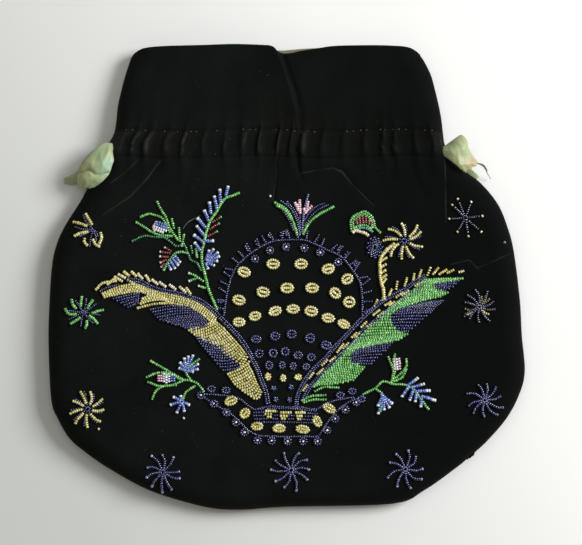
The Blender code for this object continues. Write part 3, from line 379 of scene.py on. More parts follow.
def lining(name, height, mouth, side, end_row):
    """One silk panel lying against its velvet, with fine ribs from the gathers at the mouth."""
    shares = dense_ends(120, 0.04)
    rows = np.concatenate([np.linspace(end_row, 120, 18), np.linspace(125, 440, 40), corner_rows(9)])
    across, down = np.meshgrid(LINING_INSET + (1 - 2 * LINING_INSET) * shares, rows)
    columns, lines = plan(across, down, smooth_line(mouth))
    below = np.maximum(lines - CHART_CENTRE[1], 0)
    lines -= below * LINING_SHORTER
    x, y = on_bag(columns, lines)
    levels = height(columns, lines) + side * (VELVET_THICKNESS + LINING_GAP)
    ribs = LINING_RIB * np.sin(columns * 1.35 + 0.6 * np.sin(columns / 9))
    levels += ribs * np.clip((LINING_RIB_END - lines) / 25, 0, 1)
    middle = SEAM_HEIGHT - side * LINING_APART
    levels = np.maximum(levels, middle) if side < 0 else np.minimum(levels, middle)
    piece = grid_object(name, np.stack([x, y, levels], axis=-1))
    if side < 0:
        piece.data.flip_normals()
    return piece


# Beads: one is a small barrel with a hole, threaded on its side. Its profile is in shares of its
# width, and the distances between beads are in squares
BEAD_ACROSS = 1.18 * MM
BEAD_SIDES = 8
BEAD_PROFILE = ((0.26, -0.16), (0.37, -0.35), (0.49, -0.14), (0.49, 0.14), (0.37, 0.35), (0.26, 0.16))
BEAD_SPACING = 2.2
FIELD_SPACING = 2.45
ROW_SPACING = 3.3
BEAD_SINK = 0.10 * MM
FIELD_SIZE = 1.03
ROSETTE_SIZE = 1.1
ROSETTE_RIM = 1.4
ROSETTE_INSIDE = 4.2
CLUSTER_SIZE = 1.08
CLUSTER_ROWS = 2.6
CLUSTER_STEP = 2.5
BERRY_RADIUS = 3.3
PLACE_STRAY = 0.09
ANGLE_STRAY = 0.07
WIDTH_STRAY = 0.045
LENGTH_STRAY = 0.06
ABOVE_ALL = 100 * MM
SHADES = 3
SHADE_PARTS = (0.6, 0.22, 0.18)
SEED = 7
chance = np.random.default_rng(SEED)


def bead_shape():
    """The corners and faces of one bead, its hole along X."""
    corners = [(along, radius * math.cos(2 * math.pi * side / BEAD_SIDES),
                radius * math.sin(2 * math.pi * side / BEAD_SIDES))
               for radius, along in BEAD_PROFILE for side in range(BEAD_SIDES)]
    faces = grid_faces(len(BEAD_PROFILE), BEAD_SIDES, closed=True, looped=True)
    return np.array(corners), np.array(faces)


BEAD_CORNERS, BEAD_FACES = bead_shape()


def resample(points, spacing, smooth=True):
    """Places at even steps along a line, with the line's direction at each."""
    line = smooth_line(points, 8) if smooth and len(points) > 2 else np.array(points, dtype=float)
    steps = np.hypot(*np.diff(line, axis=0).T)
    reached = np.concatenate([[0], np.cumsum(steps)])
    count = max(int(round(reached[-1] / spacing)) + 1, 2)
    wanted = np.linspace(0, reached[-1], count)
    places = np.stack([np.interp(wanted, reached, line[:, k]) for k in (0, 1)], axis=1)
    ahead = np.gradient(places, axis=0)
    return places, ahead


def strand(points, colour, spacing=BEAD_SPACING, size=1.0, smooth=True):
    """A threaded row of beads: a list of (column, row, direction, size, colour)."""
    places, ahead = resample(points, spacing, smooth)
    return [(place[0], place[1], math.atan2(-step[1], step[0]), size, colour)
            for place, step in zip(places, ahead)]


def tipped(points, colour, tip, tip_count=1, **extra):
    """A row whose last beads have their own colour."""
    row = strand(points, colour, **extra)
    return row[:-tip_count] + [bead[:4] + (tip,) for bead in row[-tip_count:]]


def on_oval(column, row, along, over, turned):
    """The place at a distance along and over from an oval's middle, the oval turned."""
    return (column + along * math.cos(turned) - over * math.sin(turned),
            row + along * math.sin(turned) + over * math.cos(turned))


def ring(column, row, half_length, half_width, turned, colour, size=1.0):
    """A closed oval row of beads that begins anywhere."""
    start = chance.uniform(0, 1)
    corners = [on_oval(column, row, half_length * math.cos(angle + start),
                       half_width * math.sin(angle + start), turned)
               for angle in np.linspace(0, 2 * math.pi, 60)]
    return strand(corners, colour, size=size, smooth=False)[:-1]


def rosette(column, row, half_length, half_width, tilt, colour):
    """An oval ring of beads set close round a short inner row."""
    turned = math.radians(tilt)
    beads = ring(column, row, half_length - ROSETTE_RIM, half_width - ROSETTE_RIM, turned, colour,
                 ROSETTE_SIZE)
    inner = half_length - ROSETTE_INSIDE
    if inner < 1.0:
        return beads + [(column, row, turned, 1.0, colour)]
    ends = [on_oval(column, row, side * inner, 0, turned) for side in (-1, 1)]
    return beads + strand(ends, colour, size=ROSETTE_SIZE)


def cluster(column, row, half_length, half_width, tilt, colours):
    """A close oval heap of round beads in staggered rows, its colours from one side to the other."""
    turned = math.radians(tilt)
    count = max(int(round(2 * half_width / CLUSTER_ROWS)), 1)
    beads = []
    for line in range(count):
        over = (line - (count - 1) / 2) * CLUSTER_ROWS
        reach = half_length * math.sqrt(max(1 - (over / (half_width + 1)) ** 2, 0.1))
        colour = colours[int(line * len(colours) / count)]
        for along in np.arange(-reach + (line % 2) * CLUSTER_STEP / 2, reach + 0.2, CLUSTER_STEP):
            beads.append((*on_oval(column, row, along, over, turned), -turned, CLUSTER_SIZE, colour))
    return beads


def berries(places):
    """Small round flowers, each of dark beads round a white one."""
    beads = []
    for column, row in places:
        beads += ring(column, row, BERRY_RADIUS, BERRY_RADIUS, 0, "navy")
        beads.append((column, row, chance.uniform(0, 3), 1.0, "white"))
    return beads


def field(key_rows, colour):
    """Close rows of beads between key rows, each key row from the spine to its tip."""
    lines = []
    rows = [resample(row, 0.5)[0] for row in key_rows]
    shares = np.linspace(0, 1, 24)
    for pair in zip(rows, rows[1:]):
        low, high = [np.stack([np.interp(shares, np.linspace(0, 1, len(row)), row[:, k]) for k in (0, 1)], 1)
                     for row in pair]
        gap = np.hypot(*(high - low).T).mean()
        count = max(int(round(gap / ROW_SPACING)), 1)
        lines += [low + (high - low) * step / count for step in range(count)]
    return [bead for line in lines + rows[-1:]
            for bead in strand(line, colour, FIELD_SPACING, FIELD_SIZE, False)]


def on_cloth(cloth, column, row):
    """The point of the cloth under a chart point, and the cloth's normal there."""
    return cloth.ray_cast(Vector((*on_bag(column, row), ABOVE_ALL)), Vector((0, 0, -1)))[:2]


def mount(piece, slot, *nodes):
    """A piece's place in the frame and the nodes it stands for, hidden; the slot is not used."""
    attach(piece, "root")
    if nodes:
        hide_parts(*nodes)


def bead_piece(name, beads, cloth, slot, nodes=()):
    """All beads of a motif as one piece, each lying on the cloth."""
    corners, faces, shades = [], [], []
    colours = sorted({bead[4] for bead in beads})
    for column, row, angle, size, colour in beads:
        column += chance.normal(0, PLACE_STRAY)
        row += chance.normal(0, PLACE_STRAY)
        hit, normal = on_cloth(cloth, column, row)
        if hit is None:
            continue
        angle += chance.normal(0, ANGLE_STRAY)
        ahead = Vector((math.cos(angle), math.sin(angle), 0))
        over = normal.cross(ahead).normalized()
        ahead = over.cross(normal).normalized()
        across = BEAD_ACROSS * size * (1 + chance.normal(0, WIDTH_STRAY))
        length = across * (1 + chance.normal(0, LENGTH_STRAY))
        lift = hit + normal * (across * 0.5 - BEAD_SINK)
        roll = chance.uniform(0, math.pi)
        turned_y = BEAD_CORNERS[:, 1] * math.cos(roll) - BEAD_CORNERS[:, 2] * math.sin(roll)
        turned_z = BEAD_CORNERS[:, 1] * math.sin(roll) + BEAD_CORNERS[:, 2] * math.cos(roll)
        shape = (np.outer(BEAD_CORNERS[:, 0] * length, ahead) + np.outer(turned_y * across, over)
                 + np.outer(turned_z * across, normal) + np.array(lift))
        faces.append(BEAD_FACES + len(BEAD_CORNERS) * len(corners))
        corners.append(shape)
        shade = int(chance.choice(SHADES, p=SHADE_PARTS))
        shades += [colours.index(colour) * SHADES + shade] * len(BEAD_FACES)
    piece = new_mesh(name, np.concatenate(corners), np.concatenate(faces))
    for colour in colours:
        for shade in range(SHADES):
            piece.data.materials.append(GLASS_MATERIALS[colour][shade])
    piece.data.polygons.foreach_set("material_index", shades)
    piece.data.polygons.foreach_set("use_smooth", [True] * len(piece.data.polygons))
    mount(piece, slot, *nodes)


# Border stars. Drawn ones: each thick ray from tip to foot, then the thin rays between
DRAWN_STARS = {
    "star_gold_upper_left": (
        (93, 230), "gold", "navy", 5.0,
        (((86.5, 214.5), (89, 219), (92, 224)), ((74.5, 222.5), (80, 223.5), (87, 226)),
         ((75.5, 236), (81, 233), (87.5, 232)), ((87, 245), (84.5, 242), (85, 239)),
         ((99, 246), (95.5, 244.5), (93.5, 240)), ((100, 243), (102, 238), (101, 233))),
        (((84, 215.5), (86, 221), (90, 226)), ((76, 227), (82, 229), (89, 229.5)),
         ((80, 236), (85, 234), (90, 231.5)), ((90, 246), (90.5, 240), (92, 234)),
         ((96, 241), (96, 237), (94.5, 233)), ((98, 236), (97, 233), (95, 231)))),
    "star_green_left": (
        (84, 312), "green", "navy", 5.0,
        (((82, 297), (81.5, 301), (81, 306)), ((72, 300), (73, 304), (76, 308)),
         ((93, 300.5), (90, 304), (88, 308)), ((103, 310), (98, 311), (93, 313)),
         ((97.5, 323), (94, 319), (90, 316)), ((85.5, 328), (87, 325), (87, 321)),
         ((71.5, 323.5), (75, 321), (80, 318)), ((66, 309), (69, 314), (76, 314))),
        (((86.5, 299), (86, 304), (85, 309)), ((76, 301), (79, 305), (82, 310)),
         ((96, 304), (91, 308), (87, 311)), ((100, 315), (94, 314), (88, 313)),
         ((93, 323), (89, 319), (86, 315)), ((81, 326), (82, 320), (83, 315)),
         ((70, 319), (76, 316), (82, 313)), ((65.5, 310.5), (72, 311), (80, 312))))}

# The few rays that kept their colour in the worn star at the right
WORN_RAYS = ((((480.5, 303), (481.5, 300), (481, 297)), "brown"),
             (((483, 303), (485, 300), (485.5, 296)), "gold"),
             (((484, 303.5), (487, 301), (489, 299)), "brown"),
             (((481, 309), (485, 313), (488, 314)), "gold"),
             (((474, 311), (469, 314), (465, 314)), "gold"),
             (((474, 309), (469, 310), (465, 309)), "brown"))

# The other stars: column, row, radius, rays, first angle, colours, tip colour and the rays' curve
STARS = {
    "star_gold_lower_left": (88, 409, 18, 9, 20, ("gold", "navy"), None, 0.12),
    "star_navy_bottom_left": (163, 472, 19, 10, 5, ("navy",), "lavender", 0.12),
    "star_navy_bottom": (291, 470, 20, 10, 15, ("navy",), "lavender", -0.14),
    "star_navy_bottom_right": (405, 469, 19, 9, 25, ("navy",), "lavender", 0.14),
    "star_navy_lower_right": (484, 400, 19, 10, 0, ("navy",), None, 0.12),
    "star_brown_right": (479, 307, 17, 10, 12, ("dark",), None, 0.10),
    "star_gold_right": (404, 241, 20, 9, 10, ("gold", "navy"), None, 0.14)}

RAY_LENGTHS = (0.84, 1.04)
RAY_STRAY = 0.07
RAY_BENDS = (0.4, 1.6)
PAIR_TURN = 0.17
THICK_SIZE = 1.2
RAY_SIZE = 1.1
THIN_SIZE = 0.85
GOLD_FOOT_SHARE = 0.36
DOTTED_STAR = (465, 218)
DOTTED_TIPS = ((457.5, 199), (452, 205), (471, 202), (482, 216), (449, 219), (457, 232), (468, 236),
               (481, 232))
STAR_SLOTS = {"gold": "gold_beads", "green": "green_beads", "navy": "navy_beads", "brown": "brown_beads"}

GOLD_ROSETTES = ((244, 272, 7, 5.5, 20), (273, 264, 7, 5.5, 0), (301, 264, 7, 5.5, 0),
                 (328, 269, 7, 5.5, -15), (347, 279, 6.5, 5.5, -30), (239, 300, 7, 5.5, 15),
                 (263, 292, 7, 5.5, 10), (287, 288, 7, 5.5, 0), (312, 288, 7, 5.5, 0),
                 (335, 293, 6.5, 5.5, 40), (349, 302, 6.5, 6, 0), (239, 322, 6.5, 5, 0),
                 (255, 316, 6.5, 5, -10), (275, 311, 7, 5, -20), (293, 309, 7, 5, 0),
                 (311, 311, 7, 5.5, 10), (328, 318, 7, 5, 10), (343.5, 324, 7, 4.5, 25))
NAVY_ROSETTES = ((256, 339, 6, 4.5, 0), (275, 336, 5.5, 5, 0), (291.5, 334, 5.5, 5, 0),
                 (310, 338, 5.5, 5.5, 0), (326, 345, 6, 5, 15), (259, 353.5, 5, 5, 0),
                 (273, 353, 5, 5, 0), (285, 351.5, 5, 5, 0), (298, 355, 5.5, 4.5, 0),
                 (311, 357, 5, 4.5, 0), (269, 365, 4.5, 5, 0), (282, 365, 4, 4.5, 0),
                 (293, 366, 4, 4.5, 0), (306, 366.5, 4.5, 4, 0), (273.5, 388, 3.5, 3, 0),
                 (291, 387, 3, 3.5, 0), (276, 399, 3, 3.5, 0), (289.5, 399.5, 3, 3.5, 0))
SMALL_GOLD = ((268, 376.5, 3.5, 4.2, 0), (283, 378, 3.5, 4.2, 0), (298, 377, 4.2, 3.5, 0))

# The arch: its line, the white-hearted flowers under it and the length of its rays
ARCH = ((224, 315), (228, 289), (234, 271), (242.5, 260), (257, 249), (271, 242), (283, 240),
        (303, 240), (315, 244), (326, 249.5), (335.5, 253.5), (343.5, 259), (353, 271), (360, 283),
        (362, 300), (362, 318))
ARCH_RAYS = 28
ARCH_RAY_LENGTH = 9.5
ARCH_RAY_LEAN = 0.22
ARCH_TWIN_PART = 0.5
ARCH_FLOWERS = ((255, 259), (270, 250.5), (286, 247), (304, 248), (320, 252.5), (338, 262))

# Left plume, from the outer gold fringe to the foot of the fan
CREAM_PART = 0.6
LEFT_FRINGE = (((108, 284), (112.5, 280.5), (117, 277.5)), ((115, 277), (122, 281)),
               ((119, 274.5), (125, 277.5)), ((124.5, 272), (129, 275.5)), ((132, 272), (136, 276)),
               ((138.5, 274), (142.5, 278.5)), ((146, 275.5), (149.5, 281)), ((152.5, 280), (157.5, 284)),
               ((160, 282.5), (165.5, 286.5)), ((170, 285), (175.5, 289)), ((180, 287), (185.5, 292)),
               ((186.5, 288), (190.5, 293.5)))
LEFT_TIP = ((96.5, 289.5), (102, 283.5), (108, 282), (116, 281))
LEFT_EDGE = ((100.5, 291), (106, 288), (113, 286), (119, 284.5))
LEFT_SPINE = ((128, 279.5), (137, 280.5), (143, 282.5), (150, 286.5), (160, 290), (170, 292), (180, 294),
              (190, 297), (200, 300.5), (211, 308), (220, 317), (231, 328), (240, 338), (248, 350),
              (253, 360), (258, 370), (261.5, 380), (266, 392), (268, 403))
LEFT_SPINE_REACH = 1.3
LEFT_GOLD = (((134, 284), (119, 287), (103, 293.5)), ((147, 291.5), (129, 292), (105, 297)))
LEFT_GOLD_BAND = (((128, 280.5), (142, 286.5), (157, 292), (172, 295), (190, 300), (204, 307.5), (216, 318)),
                  ((141, 291), (157, 297.5), (175, 303.5), (190, 306.5), (201, 313), (213, 323)))
LEFT_GOLD_NOTCH = (((160, 296), (149, 296), (143, 298.5)), ((168, 299.5), (153, 300), (141, 303.5)),
                   ((172, 303), (154, 304), (138, 308)))
LEFT_NAVY_TIP = (((139, 293.5), (127, 295.5), (114, 298.5)), ((138, 303), (134, 304.5), (128.5, 307)))
LEFT_NAVY_MIDDLE = (((190, 306.5), (170, 306), (151, 309.5)), ((200, 315), (184, 315.5), (160, 319.5)),
                    ((206, 321), (197, 323), (176, 324.5)), ((208, 325), (201, 327), (190, 329.5)))
LEFT_GOLD_FAN = (((215, 321), (203, 326), (189, 330)), ((223.5, 328), (212, 335), (200, 338)),
                 ((232.5, 338), (225, 343), (217, 345)), ((239.5, 346), (233, 352), (227, 355)),
                 ((245.5, 354), (242, 360), (240, 363)))
LEFT_GOLD_JOIN = (((247, 357), (244, 362), (241, 366)), ((249, 361.5), (245.5, 365), (241, 368)))
LEFT_NAVY_FOOT = (((215, 341), (206, 338), (196, 336)), ((224, 349), (214, 348), (203, 346)),
                  ((232, 357), (223, 358), (212, 357)), ((239, 367), (232, 369), (223, 370)))
LEFT_GOLD_FOOT = (((248, 364), (240, 369), (228, 374)), ((253, 374), (245, 380), (235, 384)),
                  ((257, 384), (252, 390), (245, 392)), ((261, 392), (258, 398), (254, 398)))

# Right plume
RIGHT_SPINE_REACH = 1.2
RIGHT_UPPER = ((296, 408), (297, 398), (301, 387), (307, 377), (315, 367), (325, 358), (335, 346),
               (347, 334), (358, 322), (370, 311), (383, 300), (394, 295), (405, 289), (413, 283),
               (424, 276))
RIGHT_LOWER = ((303, 400), (309, 388), (318, 378), (329, 366), (341, 354), (352, 344), (363, 331),
               (376, 320), (388, 310), (400, 301), (411, 293), (420, 287), (426, 279))
RIGHT_DASHES = (((303, 390), (307, 385)), ((309, 378), (313, 373)), ((317, 374), (323, 369)),
                ((322, 365), (327, 360)), ((330, 361), (335, 357)), ((337, 352), (343, 344)),
                ((343, 348), (348, 343)), ((352, 337), (356, 333)), ((355, 338), (360, 332)),
                ((361, 327), (366, 322)), ((367, 326), (371, 323)), ((373, 315), (379, 310)),
                ((378, 316), (383, 312)), ((385, 305), (390, 302)), ((389, 305), (394, 302)),
                ((396, 297), (402, 292.5)), ((402, 295), (408, 291)), ((415, 286), (419, 283)))
RIGHT_FRINGE = (((374, 306), (377, 300)), ((382, 300), (384, 293)), ((389, 295), (391.5, 289.5)),
                ((396, 289), (397, 282)), ((404.5, 286), (406.5, 278)), ((413, 280), (414, 274)),
                ((418.5, 278), (421, 270)), ((427, 275), (430, 268)), ((433, 274), (438, 268)),
                ((439, 274), (446, 270)), ((447, 273), (453, 270)), ((459, 272), (463, 271)))
RIGHT_GREEN = (((424, 279.5), (440, 279), (462, 278.5)), ((421, 283), (427, 283.5), (433, 283.8)),
               ((417, 287), (424, 288), (434, 288.5)), ((411, 291.5), (428, 291.5), (447, 292.5)),
               ((404, 297), (415, 296.5), (440, 296.5)), ((397, 302), (408, 301), (420, 301)),
               ((389, 308), (394, 308), (399, 308)), ((383, 314), (386, 314), (390, 314)),
               ((377, 320), (383, 319.5), (389.5, 319.5)), ((371, 325.5), (380, 325), (391, 325)),
               ((365, 331.5), (380, 330.5), (397, 331)), ((358, 338), (382, 335.5), (407, 334)),
               ((352, 344), (375, 341), (398, 339.5)), ((347, 349.5), (352, 349), (357, 348.5)),
               ((341, 355.5), (345, 355), (349, 355)), ((336, 361), (342, 360.5), (350, 361)),
               ((331, 366), (345, 365), (364, 367)), ((325, 372), (340, 371), (358.5, 373.5)),
               ((319, 379), (335, 377.5), (353, 380)), ((314, 386), (322, 384), (332, 384)))
RIGHT_LOOSE_ROW = ((315, 391), (324, 387), (338.5, 387.5))
RIGHT_LEAF = (((302, 400.5), (311, 396), (325.5, 395)), ((304, 402), (313, 399.5), (325.5, 399.5)))
RIGHT_NAVY_TIP = (((434, 282.5), (447, 282), (458, 281)), ((434, 286), (445, 286), (452.5, 286.5)),
                  ((438, 289.5), (441, 290), (445, 290.5)))
RIGHT_NAVY_MIDDLE = (((421, 303), (432, 301.5), (442.5, 300.5)), ((400, 308.5), (418, 307), (435, 307)),
                     ((391.5, 314), (410, 313), (430, 312.5)), ((391, 320), (405, 319), (422, 319)),
                     ((393, 325.5), (403, 325.5), (415, 325.5)), ((399, 331), (403, 331), (408, 331)))
RIGHT_NAVY_FOOT = (((358, 348.5), (374, 345), (392, 342.5)), ((350.5, 355), (366, 352), (385, 350.5)),
                   ((351, 360), (364, 358), (377, 357.5)), ((354, 363.5), (362, 363.5), (371, 363.5)))

# Basket
BASKET_RIM = ((207, 394), (221, 395), (238, 398), (249, 406), (256, 409), (269, 406), (285, 407),
              (300, 407), (316, 409), (324, 404), (335.5, 400), (353, 397))
BASKET_HEM = ((205, 398), (218, 406), (230, 413), (240, 422), (248, 430), (258, 435), (271, 436),
              (287, 436.5), (303, 436), (317, 436), (324, 427), (332, 416), (342, 406), (354, 399))
BASKET_ROWS = (((256, 409), (285, 408), (316, 411)), ((254, 412.2), (285, 411.5), (317, 413.5)),
               ((254, 415.5), (285, 415), (317, 416.5)), ((255, 418.8), (285, 418.5), (316, 419.5)),
               ((257, 422), (285, 422), (313, 422.5)))
BASKET_GOLD = (((266, 410.8), (275, 410.8)), ((265.5, 413.8), (271, 413.8)), ((268, 416.6), (270.5, 416.6)),
               ((281, 412.2), (290.5, 412.2)), ((281, 415.6), (286.5, 415.6)), ((282, 418.5), (284.5, 418.5)),
               ((296, 412.3), (304.5, 412.3)), ((297, 415.8), (301.5, 415.8)), ((298, 418.8), (300, 418.8)))
BASKET_GOLD_REACH = 2.4
BASKET_OVALS = ((231, 400.6, 7, 5, -20), (245, 413, 6, 5, -50), (257, 426, 6.5, 4.5, -8),
                (279, 428, 7, 4.5, 0), (302.5, 429, 7.5, 4.5, 8), (317, 421, 6.5, 4.5, 62),
                (329, 408, 7.5, 4.5, 30))
BASKET_ENDS = ((211.5, 388.5), (226, 390), (340, 395), (352, 391), (361, 399))
BASKET_FLOWERS = ((201, 395), (214, 403.5), (226.5, 412), (236, 422), (244.5, 432), (257.5, 440),
                  (271.5, 440.5), (287.5, 441), (303, 441), (317.5, 441), (327, 430), (335, 418.5),
                  (345, 409.5), (356, 402))

# Tulip over the arch
TULIP = ((((297, 235), (293, 222), (287, 210.5), (275.5, 203)), "green"),
         (((291, 219), (285, 210.5), (277, 205.5)), "green"),
         (((299, 231), (296, 219), (290, 208), (281, 201)), "navy"),
         (((300, 228), (298, 219), (294, 210), (287, 202)), "navy"),
         (((293, 230), (289, 220), (283, 211)), "navy"),
         (((303, 234), (309, 223), (318, 215), (333, 207)), "green"),
         (((304, 226), (311, 216), (319, 209), (328, 205)), "navy"),
         (((303, 222), (309, 213), (317, 206), (324, 203.5)), "navy"),
         (((299.5, 234), (300, 224), (300, 214)), "navy"),
         (((302, 232), (303, 220), (305, 207), (308, 195)), "lavender"))
TULIP_KNOBS = (((295, 203), (298.5, 210.5)), ((299.5, 200.5), (300, 213)), ((297.5, 205), (299.5, 211)),
               ((308, 202), (306.5, 211)), ((311.5, 206.5), (306, 211.5)), ((304, 209), (305.5, 213)))
LOOSE_BEADS = ((504, 242.5, "lavender"), (270, 196, "white"), (184, 418, "white"), (99, 429, "gold"))

# Upper left sprig. A blossom is a column, row, half length, half width and tilt
MOSS_PART = 0.3
UPPER_BLOSSOM = (161, 227.5, 6.5, 5.5, 20)
UPPER_CALYX = ((156, 222), (153.5, 227), (155, 231))
UPPER_STEM = ((217, 309), (209, 290), (206, 278), (204, 270), (202, 261), (202, 252), (204, 244),
              (206, 234), (209, 224), (213, 217), (217, 211), (221, 204), (226, 198), (232, 196),
              (239, 193))
UPPER_BLUES = (((226, 195), (228, 187)), ((220.5, 202), (220, 190)), ((217, 208), (214.5, 197)),
               ((211, 213), (209.5, 203)), ((208.5, 220), (204.5, 211)), ((205, 227), (198, 218.5)),
               ((204, 235), (197, 226.5)), ((203, 242), (194.5, 235.5)), ((200, 250), (195, 243)),
               ((206, 241), (213, 241)))
UPPER_REDS = (((213, 222), (221, 217)), ((210.5, 229), (219, 223.5)), ((208.5, 236), (217, 231.5)))
UPPER_GREENS = (((201, 270), (197, 263), (191, 260), (188.5, 254), (186, 248), (184, 244)),
                ((197, 257), (196, 249)), ((192.5, 253), (191, 246)),
                ((178, 240), (170, 228), (166, 217), (162, 211), (157.5, 202)),
                ((170, 232), (163, 219), (158, 216), (149, 214), (141, 217)),
                ((172, 236), (160, 235), (150, 231), (143, 226), (136.5, 222.5)),
                ((168, 237), (155, 237), (144, 236), (133, 241)),
                ((165, 238), (170, 241), (176, 246), (183, 245)),
                ((172, 219), (174, 228)), ((179, 228), (180, 241)), ((184, 235), (182, 246)),
                ((187, 253), (181, 252), (176, 253), (172, 257), (167, 264), (164, 270)))
UPPER_PALE = (((203, 281), (196, 276), (189, 273)), ((197, 278), (189.5, 281)), ((205, 288), (199, 286)))
UPPER_RED_FAN = (((171, 251), (165, 247.5)), ((170, 253), (160.5, 252)), ((168, 257), (160, 256.5)),
                 ((166, 260), (160.5, 262.5)), ((164, 264), (161.5, 267)))
UPPER_BUD = (205.5, 262)
UPPER_BUD_TIPS = ((209, 250.5), (213.5, 249.5), (217.5, 252.5), (219, 256.5), (217, 261), (214, 265.5),
                  (208, 268.5))
UPPER_CUP = (((175.5, 256.5), (180, 262)), ((173, 258.5), (178, 265)), ((170.5, 261), (175, 268)),
             ((168, 264), (171, 269.5)))

# Lower sprigs
LOWER_LEFT_STEMS = (((204, 391), (197, 383), (188, 380), (183, 380)),
                    ((191, 380), (186, 372), (190, 366), (199, 359)),
                    ((195, 386), (186, 392), (183, 400)),
                    ((184, 380), (172, 373), (160, 366), (151, 361)),
                    ((180, 379), (168, 373), (157, 373), (147, 377)),
                    ((182, 381), (172, 385), (160, 386), (148.5, 382)),
                    ((176, 385), (164, 386), (156, 391), (152.5, 399)))
LOWER_LEFT_BLOSSOM = (166.5, 378.5, 5, 8.5, 90)
LOWER_LEFT_FLOWER = (182, 401)
LOWER_LEFT_TIPS = ((171, 404.5), (177, 412), (184.5, 410.5), (189, 404.5), (174, 397), (181, 396))
LOWER_LEFT_BUD = (186.5, 371)
LOWER_LEFT_BUD_TIPS = ((179.5, 368), (180.5, 362.5), (184.5, 358.5), (188.5, 356.5), (193, 355.5),
                       (193, 371.5), (198, 369), (198, 364))
LOWER_RIGHT_BLOSSOM = (396.5, 364, 6, 4.5, 85)
LOWER_RIGHT_STEMS = (((363, 394), (375, 388), (381, 382), (386, 381.5), (393, 384), (404, 384.5),
                      (413, 389), (420, 398), (428, 409)),
                     ((376, 389), (382, 394), (383, 401.5), (380, 411)),
                     ((391, 382), (393, 372), (391, 364), (388, 357)),
                     ((392, 380), (395, 370), (394, 362), (394.5, 354)),
                     ((393, 379), (401, 373), (406, 366), (406, 359)),
                     ((394, 381), (402, 377), (406, 369)))
LOWER_RIGHT_TIPS = (((382, 396), (378, 405)), ((383, 398), (378, 413)), ((383, 398), (384, 409)),
                    ((382, 396), (389, 407)), ((381, 394), (391.5, 403)))
LOWER_RIGHT_BLUES = (((408, 385), (417, 378)), ((412, 387), (423.5, 384)), ((416, 391), (429, 390.5)),
                     ((422, 396), (434.5, 400)))
LOWER_RIGHT_LOWER = (((408, 387), (402, 396)), ((413, 390), (409.5, 399.5)), ((416.5, 393), (415, 401)),
                     ((421.5, 397), (420.5, 406)))

# Gold twig with its rose
TWIG = ((384, 299), (383, 289), (380.5, 281), (380, 273), (380, 260), (385.5, 251), (393.5, 244))
TWIG_SIDES = (((382, 284), (385.5, 279)), ((381, 279), (386, 275)), ((381, 273), (385, 270.5)),
              ((381, 267), (385.5, 264.5)), ((381, 261), (386, 258)))
ROSE_RIM = ((351.5, 231), (350.5, 225), (351, 219.5), (355.5, 215), (360, 213), (364, 211.5), (368, 213.5),
            (371.5, 217), (374, 222), (374.5, 227), (380, 232.5))
ROSE_RIM_STEP = 2.5
ROSE_FOLDS = (((357, 224), (356, 219)), ((360, 223), (359, 217.5)), ((363, 222.5), (362, 216.5)),
              ((366, 222.5), (365.5, 216.5)), ((369, 224), (369, 218.5)), ((371.5, 226), (372, 221)))
ROSE_BAND = (((354, 228), (360, 225.5), (366, 225.5), (371, 229)),
             ((355, 230), (361, 228), (367, 228.5), (372, 231.5)))
ROSE_FOOT = ((353, 232), (356, 230.5), (360, 232), (364, 233), (367.5, 235))
CURL_CENTRE = (374.5, 247.5)
CURL_RAYS = 12
CURL_REACH = (7.5, 10)
CURL_TURN = 1.1


def star(column, row, radius, rays, first, colours, tip, curve):
    """Slightly curved rays round a middle; a second colour lies as a thin ray beside each."""
    beads = []
    for number in range(rays):
        reach = radius * chance.uniform(*RAY_LENGTHS)
        angle = math.radians(first + 360 * number / rays) + chance.normal(0, RAY_STRAY)
        bend = curve * chance.uniform(*RAY_BENDS)
        for colour, turn, size in zip(colours, (0.0, -PAIR_TURN), (RAY_SIZE, THIN_SIZE)):
            line = []
            foot = GOLD_FOOT_SHARE if colour == "gold" else 0.12
            for share in (foot, 0.55, 0.78, 1.0 if not turn else 0.93):
                turned = angle + turn + bend * share ** 2 * 2
                line.append((column + reach * share * math.cos(turned),
                             row - reach * share * math.sin(turned)))
            beads += tipped(line, colour, tip, size=size) if tip else strand(line, colour, size=size)
    return beads


def drawn_star(centre, colour, thin_colour, hollow, thick, thin):
    """A star whose rays are each drawn: thick ones of large beads, thin ones running to the middle."""
    beads = []
    for line in thick:
        beads += strand(line, colour, 2.1, THICK_SIZE)
    for line in thin:
        beads += strand((*line, centre), thin_colour, 2.0, THIN_SIZE)
    return [bead for bead in beads if bead[4] != colour
            or math.hypot(bead[0] - centre[0], bead[1] - centre[1]) > hollow]


def worn_star(drawing):
    """The faded star at the right, with a few gold and brown rays left beside the dark ones."""
    beads = star(*drawing)
    for line, colour in WORN_RAYS:
        beads += strand(line, colour, size=THIN_SIZE)
    return beads


def dotted_star():
    """The upper right star: dark rays, each with one pale bead set apart at its end."""
    beads = []
    for tip in DOTTED_TIPS:
        run = np.array(tip) - DOTTED_STAR
        beads += strand((DOTTED_STAR + run * 0.12, DOTTED_STAR + run * 0.78), "dark")
        beads.append((*tip, chance.uniform(0, 3), 1.0, "cream"))
    return beads


def side_line(points, distance):
    """A line beside another one, at a distance in squares."""
    line = smooth_line(points, 6)
    ahead = np.gradient(line, axis=0)
    ahead /= np.hypot(ahead[:, 0], ahead[:, 1])[:, None]
    return line + distance * np.stack([-ahead[:, 1], ahead[:, 0]], axis=1)


def double_row(line, reach):
    """Two dark rows of beads, one on each side of a line."""
    return [bead for gap in (-reach, reach) for bead in strand(side_line(line, gap), "navy", smooth=False)]


def gold_rosettes():
    """The large gold rosettes under the arch."""
    return [bead for oval in GOLD_ROSETTES for bead in rosette(*oval, "straw")]


